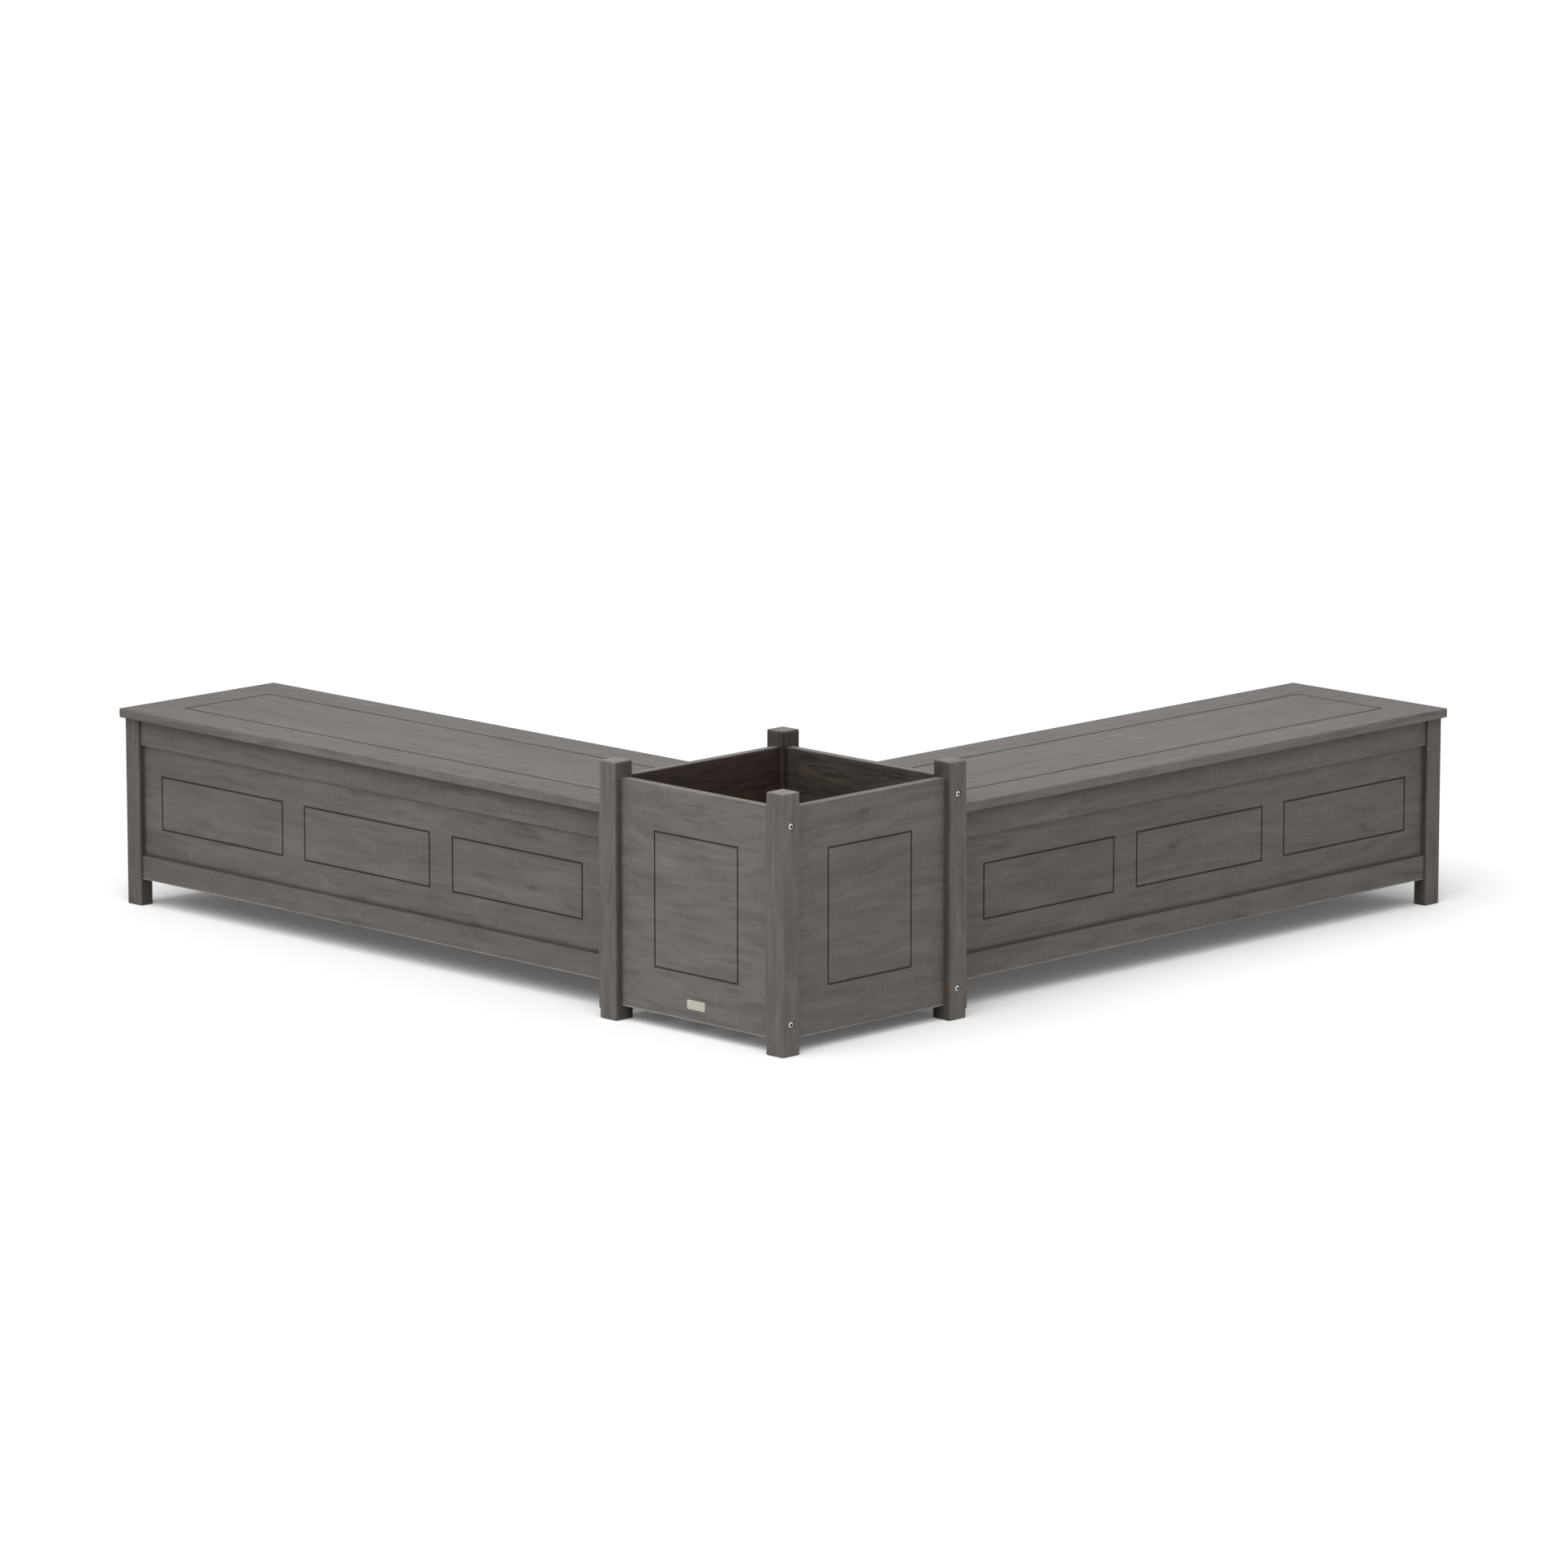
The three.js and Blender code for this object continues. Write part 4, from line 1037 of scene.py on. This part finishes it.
nut = rod("cross_nut", X, (0, 0, -NUT_DISTANCE), NUT_LENGTH, NUT_RADIUS)
nut_end = NUT_LENGTH / 2
with editing():
    bevel(nut, NUT_BEVEL, RIM_SEGMENTS, lambda edge: at_an_end(edge, X, -nut_end, nut_end))
for side in (-1, 1):
    slot_middle = Vector((side * nut_end, 0, -NUT_DISTANCE))
    slot_half = Vector((SLOT_DEPTH, SLOT_WIDTH / 2, 2 * NUT_RADIUS))
    carve(nut, blank("slot", slot_middle - slot_half, slot_middle + slot_half))
weld(bolt, nut)


def in_the_socket(spot):
    """True for the corners of the mesh at the bottom of the hexagon socket."""
    return (abs(spot.z + SOCKET_BOTTOM) < SAME_PLACE
            and spot.xy.length < SOCKET_SPARE * SOCKET_RADIUS)


# Painted shadow at the bottom of the socket.
mark(bolt, "recess", in_the_socket)
print("faces with the nut:", len(bolt.data.polygons))

# %% Turn the bolts into place
for post_name, side in HEADS_LOOK.items():
    for level in LEVELS:
        node = f"planter_{post_name}_{level}_bolt"
        turn = (-side * math.pi / 2, 0, 0)
        copy = placed_copy(bolt, f"{node}_steel", bolt_mouth(post_name, level), turn)
        dress(copy, node, steel)
bpy.data.objects.remove(bolt)
print("bolts:", len(HEADS_LOOK) * len(LEVELS))

# %% [markdown]
# ## The plate
#
# A small enamelled plate is fixed low on the planter's left wall. It is left bare. It is a thin
# slab whose four corners are bevelled until they are round, and whose outer rim is softened.

# %% Model the bare plate
PLATE_SIZE = Vector((0.8, 52, 20)) * MM
PLATE_HEIGHT = 34 * MM
PLATE_CORNER = 2.5 * MM
PLATE_CORNER_SEGMENTS = 6
PLATE_RIM = 0.3 * MM

middle = (plated_low + plated_high) / 2
middle.x = plated_low.x - PLATE_SIZE.x / 2
middle.z = plated_low.z + PLATE_HEIGHT
plate = blank("planter_plate", middle - PLATE_SIZE / 2, middle + PLATE_SIZE / 2)
plate_face = middle.x - PLATE_SIZE.x / 2
with editing():
    bevel(plate, PLATE_CORNER, PLATE_CORNER_SEGMENTS, lambda edge: runs_along(edge, X))
    bevel(plate, PLATE_RIM, RIM_SEGMENTS, lambda edge: at_an_end(edge, X, plate_face, FAR))
bpy.ops.object.shade_smooth_by_angle(angle=SMOOTH_ANGLE)
print("faces of the plate:", len(plate.data.polygons))

# %% Cream enamel
CREAM, DUSTY_CREAM = paint(214, 210, 193), paint(176, 172, 155)
DUST, DUST_RANGE = (90, 90, 3.0), (0.35, 0.75, 0.0, 0.35)
GLOSS, GLOSS_RANGE = (40, 40), (0.3, 0.7, 0.38, 0.55)

enamel, tree, shader = new_material("cream_enamel")
place = put(tree, "TexCoord").outputs["Object"]
dust = ramp(tree, noise(tree, place, *DUST), *DUST_RANGE)
gloss = ramp(tree, noise(tree, place, *GLOSS), *GLOSS_RANGE)
feed(tree, shader, {"Base Color": blend(tree, dust, CREAM, DUSTY_CREAM), "Roughness": gloss})
plate.data.materials.append(enamel)
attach(plate, "frame")
print("enamel nodes:", len(tree.nodes))

# %% [markdown]
# ## The benches
#
# Both benches are built alike. One runs along X and the other along Y, so each step below takes the
# bench's long axis and its deep axis from a table. Rails, panels and boards are cut to the clear
# room between two legs, and reach a little way into them, as the planter's walls do.

# %% Clear room between the legs
BENCHES = {"right": (X, Y), "left": (Y, X)}
LEGS_OF_FACE = {
    "front": ("front_near", "front_far"),
    "far_end": ("front_far", "back_far"),
    "back": ("back_near", "back_far"),
    "near_end": ("front_near", "back_near"),
}


def between(bench, face, part):
    """The node of a board in a face of a bench, its long axis, and the room between its legs."""
    along, deep = BENCHES[bench]
    run = deep if face.endswith("end") else along
    node = f"{bench}_bench_{face}_{part}"
    low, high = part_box(node)
    before, after = (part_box(f"{bench}_bench_{leg}_leg") for leg in LEGS_OF_FACE[face])
    low[run], high[run] = before[1][run], after[0][run]
    return node, run, low, high


# %% Painted shade and light on a bench
# A painted shadow under the lid's overhang, on the top rails, the legs and the backs.
LID_SHADE_REACH = 40 * MM
LID_SHADE_SPARE = 4 * MM
LID_SHADOW_TINT = (0.74, 0.72, 0.71, 1.0)
# Painted shade that falls slowly towards the far end of each bench.
BENCH_END_REACH = 700 * MM
BENCH_END_SPARE = 140 * MM
BENCH_END_SHADE_TINT = even(0.84)
# Painted shade on a leg, beside its rails and panels.
LEG_STRIP_REACH = 2.5 * MM
# Painted shade at the ends of the rails, and on the ledge of a bottom rail under its panel.
RAIL_END_REACH = 4 * MM
RAIL_END_SHADE_TINT = (0.72, 0.68, 0.65, 1.0)
LEDGE_REACH = 3 * MM
LEDGE_SHADE_TINT = (0.55, 0.50, 0.47, 1.0)

lid_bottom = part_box("right_bench_lid")[0].z
# A painted shadow under the lid.
lid_shade = slab(Z, -FAR, lid_bottom + LID_SHADE_SPARE), LID_SHADE_REACH, LID_SHADOW_TINT, OUTSIDE
print("underside of the lids, mm:", round(lid_bottom / MM))


def far_end_shade(bench):
    """Painted shade: a slow fall in tone over the last part of a bench."""
    along = BENCHES[bench][0]
    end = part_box(f"{bench}_bench_lid")[1][along] + BENCH_END_SPARE
    return slab(along, -FAR, end), BENCH_END_REACH, BENCH_END_SHADE_TINT, OUTSIDE


def leg_shades(bench, place, low, high):
    """Painted shade where rails and panels meet a leg, and a painted shadow under the lid."""
    at_end = place.endswith("far"), place.startswith("back")
    return [lid_shade, *(
        band(axis, low[axis] if end else high[axis], LEG_STRIP_REACH, STRIP_SHADE_TINT)
        for axis, end in zip(BENCHES[bench], at_end)
    )]


def rail_shades(level, low, high, run):
    """Painted shade on the ends, and a painted shadow under the lid, or else painted shade on the
    ledge and a painted highlight along the lower edge.
    """
    ends = limits(low, high, [run]), RAIL_END_REACH, RAIL_END_SHADE_TINT, OUTSIDE
    ledge = slab(Z, high.z - LEDGE_REACH, FAR), LEDGE_REACH, LEDGE_SHADE_TINT, INSIDE
    return [ends, lid_shade] if level == "top" else [ends, ledge, painted_foot_highlight(low)]


# %% Bench legs and rails
LEG_RADIUS = 3.5 * MM
LEG_END_RADIUS = 2.5 * MM
# The right bench's legs and rails are stained a touch darker than the left's: painted shade on the
# side that gets less light.
LEG_STAINS_AND_SHADE = {"right": (96, 91, 87), "left": (99, 94, 90)}
RAIL_RADIUS = 1.2 * MM
RAIL_STAINS_AND_SHADE = {"right": (100, 95, 91), "left": (101, 96, 92)}
BOTTOM_RAIL_TRIM = 4 * MM

for bench in BENCHES:
    for place in ("front_near", "front_far", "back_near", "back_far"):
        node = f"{bench}_bench_{place}_leg"
        low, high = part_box(node)
        leg = board(f"{node}_timber", low, high, Z, LEG_RADIUS, LEG_END_RADIUS)
        shades = [*leg_shades(bench, place, low, high), far_end_shade(bench)]
        dress_board(leg, node, "post_wood", Z, stain=LEG_STAINS_AND_SHADE[bench], shades=shades,
                    **UPRIGHT_GRAIN)
    for face in ("front", "far_end"):
        for level in ("top", "bottom"):
            node, run, low, high = between(bench, face, f"{level}_rail")
            if level == "bottom":
                high.z -= BOTTOM_RAIL_TRIM
            rail = board(f"{node}_timber", *reaching(low, high, [run]), run, RAIL_RADIUS)
            shades = [*rail_shades(level, low, high, run), far_end_shade(bench)]
            dress_board(rail, node, "rail_wood", run, pale=0.1, stain=RAIL_STAINS_AND_SHADE[bench],
                        shades=shades)
    print(bench, "bench: faces of a leg and a rail:", len(leg.data.polygons),
          len(rail.data.polygons))

# %% Bench panels
FIELD_GAP = 68 * MM
FIELD_END_MARGIN = 60 * MM
FIELD_TOP_MARGIN = 62 * MM
FIELD_BOTTOM_MARGIN = 63 * MM
PANEL_RADIUS = 1 * MM
# The right bench's panels are darker than the left's: painted shade on the side that gets less
# light.
PANEL_STAINS_AND_SHADE = {"right": (97, 92, 88), "left": (105, 100, 96)}
PANEL_SHADE_REACH = 12 * MM
PANEL_TOP_SPARE = 8 * MM
# Painted shade along the border of a panel or board, next to what holds it.
CORNER_SHADE_TINT = (0.56, 0.51, 0.48, 1.0)


def fields(low, high, run, count):
    """Equal rectangles in a row along a panel, with their margins."""
    start, end = low[run] + FIELD_END_MARGIN, high[run] - FIELD_END_MARGIN
    width = (end - start - (count - 1) * FIELD_GAP) / count
    heights = (low.z + FIELD_BOTTOM_MARGIN, high.z - FIELD_TOP_MARGIN)
    starts = [start + index * (width + FIELD_GAP) for index in range(count)]
    return [{run: (place, place + width), Z: heights} for place in starts]


for bench, (along, deep) in BENCHES.items():
    for face, axis, side, count in (("front", deep, -1, 3), ("far_end", along, 1, 1)):
        node, run, low, high = between(bench, face, "panel")
        low.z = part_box(f"{bench}_bench_{face}_bottom_rail")[1].z - BOTTOM_RAIL_TRIM
        high.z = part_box(f"{bench}_bench_{face}_top_rail")[0].z
        panel = board(f"{node}_timber", *reaching(low, high, [run, Z]), run, PANEL_RADIUS)
        lines = rout(panel, axis, side, fields(low, high, run, count))
        clear_high = high + Vector((0, 0, PANEL_TOP_SPARE))
        # A dark border of painted shade next to the rails and legs.
        rim = limits(low, clear_high, [run, Z]), PANEL_SHADE_REACH, CORNER_SHADE_TINT, OUTSIDE
        dress_board(panel, node, "panel_wood", run, stain=PANEL_STAINS_AND_SHADE[bench],
                    shades=[rim, far_end_shade(bench)])
        print(node, "faces on the routed lines:", lines)

# %% [markdown]
# ## Backs and near ends
#
# The back of each bench is three planks wide, with a V-shaped seam between each two, and a long
# shallow step along its top edge for the hinge. A V is cut by a square bar that stands on its
# corner. The near end is one full-height board, next to the planter.

# %% Cut a seam and a rebate
SEAM_WIDTH = 5 * MM
SEAM_BAR_LENGTH = 2
HINGE_FIT = 0.3 * MM
REBATE_DEPTH = 5.3 * MM
REBATE_WIDTH = 16.2 * MM


def cut_seam(piece, run, place):
    """Cut a V along a piece, with its point behind the given place."""
    side = SEAM_WIDTH / math.sqrt(2)
    size, turn = [side, side, side], [0, 0, 0]
    size[run], turn[run] = SEAM_BAR_LENGTH, math.radians(45)
    bpy.ops.mesh.primitive_cube_add(size=1, location=place, scale=size, rotation=turn)
    carve(piece, bpy.context.active_object)


def cut_rebate(piece, run, deep, high, hinge):
    """Cut the step that the hinge lies in."""
    step_low, step_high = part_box(hinge)
    step_low[run], step_high[run] = step_low[run] - HINGE_FIT, step_high[run] + HINGE_FIT
    step_low[deep], step_high[deep] = high[deep] - REBATE_WIDTH, high[deep] + REBATE_WIDTH
    step_low.z, step_high.z = high.z - REBATE_DEPTH, high.z + REBATE_DEPTH
    carve(piece, blank("rebate", step_low, step_high))


# %% Bench backs and near ends
PLANK_COUNT = 3

for bench, (_, deep) in BENCHES.items():
    for face in ("back", "near_end"):
        node, run, low, high = between(bench, face, "board")
        plank = board(f"{node}_timber", *reaching(low, high, [run]), run, RAIL_RADIUS)
        start, pitch = low.z, (high.z - low.z) / PLANK_COUNT
        if face == "back":
            for index in range(1, PLANK_COUNT):
                place = (low + high) / 2
                place[deep], place.z = high[deep], start + index * pitch
                cut_seam(plank, run, place)
            cut_rebate(plank, run, deep, high, f"{bench}_bench_hinge_frame_leaf")
        # Painted shade at the ends, and a painted shadow under the lid.
        ends = limits(low, high, [run]), PANEL_SHADE_REACH, CORNER_SHADE_TINT, OUTSIDE
        dress_board(plank, node, "panel_wood", run, shades=[ends, lid_shade],
                    planks=(start, pitch))
        print(node, "faces:", len(plank.data.polygons))

# %% Bench floors and battens
BATTEN_RADIUS = 3 * MM
BATTEN_END_RADIUS = 1.5 * MM
BATTEN_STAIN = (104, 97, 90)
BENCH_FLOOR_STAIN = (98, 90, 82)
BATTENS = ("joining_batten", "lid_near_batten", "lid_far_batten")

for bench, (along, deep) in BENCHES.items():
    for part in BATTENS:
        node = f"{bench}_bench_{part}"
        batten = board(f"{node}_timber", *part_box(node), deep, BATTEN_RADIUS, BATTEN_END_RADIUS)
        dress_board(batten, node, "inner_wood", deep, stain=BATTEN_STAIN)
    floor_wood = wood(f"{bench}_bench_floor_wood", along, stain=BENCH_FLOOR_STAIN)
    floor_node = frame["nodes"][f"{bench}_bench_floor_board"]
    floor_node.data.materials.clear()
    floor_node.data.materials.append(floor_wood)
print("battens:", len(BENCHES) * len(BATTENS))

# %% [markdown]
# ## The lids
#
# Each lid is one wide board with a crisp, barely softened edge and a routed rectangle on top.

# %% Lids
LID_CORNER_RADIUS = 4 * MM
LID_RADIUS = 1.5 * MM
LID_GROOVE_INSET = 101 * MM
LID_ROUTER_WIDTH = 6.5 * MM
LID_STAINS = {"right": (108.5, 104, 101), "left": (111, 106.5, 103)}

for bench, (along, deep) in BENCHES.items():
    node = f"{bench}_bench_lid"
    low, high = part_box(node)
    lid = board(f"{node}_timber", low, high, Z, LID_CORNER_RADIUS, LID_RADIUS)
    top = {along: (low[along], high[along]), deep: (low[deep], high[deep])}
    rout(lid, Z, 1, [shrunk(top, LID_GROOVE_INSET)], width=LID_ROUTER_WIDTH)
    dress_board(lid, node, "lid_wood", along, streaks=0.6, pale=0.0, stain=LID_STAINS[bench],
                shades=[far_end_shade(bench)])
    print(node, "faces:", len(lid.data.polygons))

# %% [markdown]
# ## The lid hinges
#
# A long hinge runs along the back of each lid. Its two leaves are thin strips, and their knuckles
# take turns along one pin. Only a row of knuckles shows from behind, and the leaves when the lid is
# open.
#
# One knuckle is modelled with the strip that ties it to its leaf. An Array modifier repeats it,
# every second place for each leaf. The knuckles of the lid are bored, because they turn round the
# pin. The hinge is made for the right bench, and a copy with X and Y changed places serves the left
# one. That copy is a mirror image, so its normals are recalculated.

# %% A leaf and its row of knuckles
KNUCKLE_RADIUS = 2.5 * MM
KNUCKLE_COUNT = 115
KNUCKLE_GAP = 0.4 * MM
KNUCKLE_SIDES = 20
BORE_RADIUS = 1.25 * MM
LEAF_THICKNESS = 1.2 * MM
LEAF_WIDTH = 15 * MM
LEAF_STANDOFF = 3.4 * MM
LEAF_CORNER = 2 * MM
STRIP_THICKNESS = 1.1 * MM
STRIP_OVERLAP = 0.6 * MM

hinge_low, hinge_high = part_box("right_bench_hinge_frame_leaf")
hinge_start = Vector(
    (hinge_low.x, hinge_high.y - KNUCKLE_RADIUS, (hinge_low.z + hinge_high.z) / 2)
)
hinge_run = hinge_high.x - hinge_low.x
knuckle_pitch = hinge_run / KNUCKLE_COUNT
print("one knuckle every", round(knuckle_pitch / MM, 1), "mm")


def leaf(name, bottom):
    """The flat of a leaf, with rounded corners."""
    low = hinge_start + Vector((0, -LEAF_STANDOFF - LEAF_WIDTH, bottom))
    high = hinge_start + Vector((hinge_run, -LEAF_STANDOFF, bottom + LEAF_THICKNESS))
    piece = blank(name, low, high)
    with editing():
        bevel(piece, LEAF_CORNER, EDGE_SEGMENTS, lambda edge: runs_along(edge, Z))
    return piece


def knuckle_row(first, bottom, bored):
    """Every second knuckle of the hinge, each with the strip that ties it to its leaf."""
    middle = hinge_start + Vector(((first + 0.5) * knuckle_pitch, 0, 0))
    length = knuckle_pitch - KNUCKLE_GAP
    knuckle = rod("knuckle", X, middle, length, KNUCKLE_RADIUS, KNUCKLE_SIDES)
    if bored:
        drill(knuckle, X, middle, length, BORE_RADIUS)
    spare = (LEAF_THICKNESS - STRIP_THICKNESS) / 2
    strip_low = middle + Vector((-length / 2, -LEAF_STANDOFF - STRIP_OVERLAP, bottom + spare))
    strip_high = middle + Vector((length / 2, 0, bottom + spare + STRIP_THICKNESS))
    weld(knuckle, blank("strip", strip_low, strip_high))
    alone(knuckle)
    row = knuckle.modifiers.new("row", "ARRAY")
    row.count = len(range(first, KNUCKLE_COUNT, 2))
    row.use_relative_offset = False
    row.use_constant_offset = True
    row.constant_offset_displace = (2 * knuckle_pitch, 0, 0)
    bpy.ops.object.modifier_apply(modifier=row.name)
    return knuckle


# %% Model a screw head
SCREW_SIDES = 24
SCREW_RADIUS = 2.7 * MM
SCREW_EDGE = 0.5 * MM
SCREW_PROUD = 0.15 * MM
SCREW_CROSS = Vector((3.2, 0.8, 0.6)) * MM
SCREW_MARK_RADIUS = 0.7 * SCREW_RADIUS

screw = rod("screw", Z, (0, 0, 0), 2 * SCREW_PROUD, SCREW_RADIUS, SCREW_SIDES)
with editing():
    pick(screw, "FACE", lambda face: looks_along(face, Z, 1))
    bpy.ops.mesh.inset(thickness=SCREW_EDGE, depth=SCREW_PROUD)
for half in (SCREW_CROSS / 2, SCREW_CROSS.yxz / 2):
    middle = Vector((0, 0, 2 * SCREW_PROUD))
    carve(screw, blank("cross", middle - half, middle + half))
# Painted shadow in the cross of the screw head.
mark(screw, "recess", lambda spot: spot.xy.length < SCREW_MARK_RADIUS and spot.z < SCREW_PROUD)
print("faces of a screw head:", len(screw.data.polygons))


def set_screws(name, places, side):
    """One object of screw heads at some places, looking up or down."""
    turn = (0 if side > 0 else math.pi, 0, 0)
    heads = [placed_copy(screw, name, place, turn) for place in places]
    alone(heads[0])
    for head in heads:
        head.select_set(True)
    bpy.ops.object.join()
    return heads[0]


# %% Model the leaves
PIN_SIDES = 16
PIN_RADIUS = 1.1 * MM
SCREW_COUNT = 13
SCREW_END = 40 * MM
frame_bottom, lid_leaf_bottom = -KNUCKLE_RADIUS, KNUCKLE_RADIUS - LEAF_THICKNESS

frame_leaf = leaf("right_bench_hinge_frame_leaf_steel", frame_bottom)
row = knuckle_row(0, frame_bottom, bored=False)
pin_middle = hinge_start + Vector((hinge_run / 2, 0, 0))
weld(row, rod("pin", X, pin_middle, hinge_run, PIN_RADIUS, PIN_SIDES))
weld(frame_leaf, row)
lid_leaf = leaf("right_bench_hinge_lid_leaf_steel", lid_leaf_bottom)
weld(lid_leaf, knuckle_row(1, lid_leaf_bottom, bored=True))

spacing = (hinge_run - 2 * SCREW_END) / (SCREW_COUNT - 1)
across = -LEAF_STANDOFF - LEAF_WIDTH / 2
for piece, side, face in (
    (frame_leaf, 1, frame_bottom + LEAF_THICKNESS),
    (lid_leaf, -1, lid_leaf_bottom),
):
    places = [
        hinge_start + Vector((SCREW_END + index * spacing, across, face))
        for index in range(SCREW_COUNT)
    ]
    heads = set_screws("screw_heads", places, side)
    alone(piece)
    heads.select_set(True)
    bpy.ops.object.join()
print("faces of the leaves:", len(frame_leaf.data.polygons), len(lid_leaf.data.polygons))


# %% Copy the hinge to the left bench
def swapped(piece, name):
    """A copy of a piece with X and Y changed places."""
    copy = placed_copy(piece, name, rotation=(0, 0, math.pi / 2), scale=(1, -1, 1))
    with editing():
        bpy.ops.mesh.select_all(action="SELECT")
        bpy.ops.mesh.normals_make_consistent(inside=False)
    return copy


for piece, part in ((frame_leaf, "hinge_frame_leaf"), (lid_leaf, "hinge_lid_leaf")):
    copy = swapped(piece, f"left_bench_{part}_steel")
    dress(piece, f"right_bench_{part}", steel)
    dress(copy, f"left_bench_{part}", steel)
    print(copy.name, "size:", [round(v, 4) for v in copy.dimensions])

# %% Screws in the lid battens
for bench, (_, deep) in BENCHES.items():
    places = []
    for part in ("lid_near_batten", "lid_far_batten"):
        low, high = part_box(f"{bench}_bench_{part}")
        middle = (low[deep] + high[deep]) / 2
        for place in (low[deep] + SCREW_END, middle, high[deep] - SCREW_END):
            spot = (low + high) / 2
            spot[deep], spot.z = place, low.z
            places.append(spot)
    heads = set_screws(f"{bench}_lid_batten_screws", places, -1)
    heads.data.materials.clear()
    heads.data.materials.append(steel)
    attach(heads, f"{bench}_lid")
    print(heads.name, len(places))
bpy.data.objects.remove(screw)

# %% [markdown]
# ## Studio
#
# The light is plain. A broad soft lamp hangs high in front, a little to the left, over a white
# floor, with a pale sky all round. The lamp makes the tops brightest, and half of the light on the
# fronts comes back up from the white floor. The shadow stays under the seat, and fades slowly into
# the white in front of it.
#
# The floor glows a little to the camera, so that the shadow on it stays a pale grey.

# %% Sky
SKY_STRENGTH = 0.41

world = bpy.data.worlds.new("studio")
bpy.context.scene.world = world
world.use_nodes = True
sky = world.node_tree
path = put(sky, "LightPath").outputs
seen = calc(sky, "ADD", path["Is Camera Ray"], path["Is Glossy Ray"])
seen = calc(sky, "ADD", seen, path["Is Transmission Ray"], clamp=True)
strength = calc(sky, "ADD", calc(sky, "MULTIPLY", seen, 1 - SKY_STRENGTH), SKY_STRENGTH)
feed(sky, sky.nodes["Background"].inputs, {"Strength": strength, "Color": even(1.0)})

# %% Lamp
LAMP_STRENGTH = 1.50
LAMP_SPREAD = math.radians(64)
LAMP_LEAN = math.radians(-32)
LAMP_TURN = math.radians(21)

bpy.ops.object.light_add(type="SUN", rotation=(0, LAMP_LEAN, LAMP_TURN))
lamp = bpy.context.active_object
lamp.data.energy = LAMP_STRENGTH
lamp.data.angle = LAMP_SPREAD
print("lamp:", lamp.data.energy, "sky:", SKY_STRENGTH)

# %% Floor
FLOOR_SIZE = 120
FLOOR_SEEN, FLOOR_LIT = even(1.275), even(0.9)
FLOOR_GLOW = 0.07

bpy.ops.mesh.primitive_plane_add(size=FLOOR_SIZE)
floor = bpy.context.active_object
floor.name = "studio_floor"
floor_paint, tree, _ = new_material("studio_floor_paint")
tree.nodes.remove(tree.nodes["Principled BSDF"])
matt = put(tree, "BsdfDiffuse", {"Color": FLOOR_LIT}).outputs[0]
bright = put(tree, "BsdfDiffuse", {"Color": FLOOR_SEEN}).outputs[0]
glow = put(tree, "Emission", {"Color": even(1.0), "Strength": FLOOR_GLOW}).outputs[0]
lifted = put(tree, "AddShader", {0: bright, 1: glow}).outputs[0]
to_camera = put(tree, "LightPath").outputs["Is Camera Ray"]
mixed = put(tree, "MixShader", {0: to_camera, 1: matt, 2: lifted}).outputs[0]
feed(tree, tree.nodes["Material Output"].inputs, {"Surface": mixed})
floor.data.materials.append(floor_paint)
bpy.context.scene.view_settings.view_transform = "Standard"
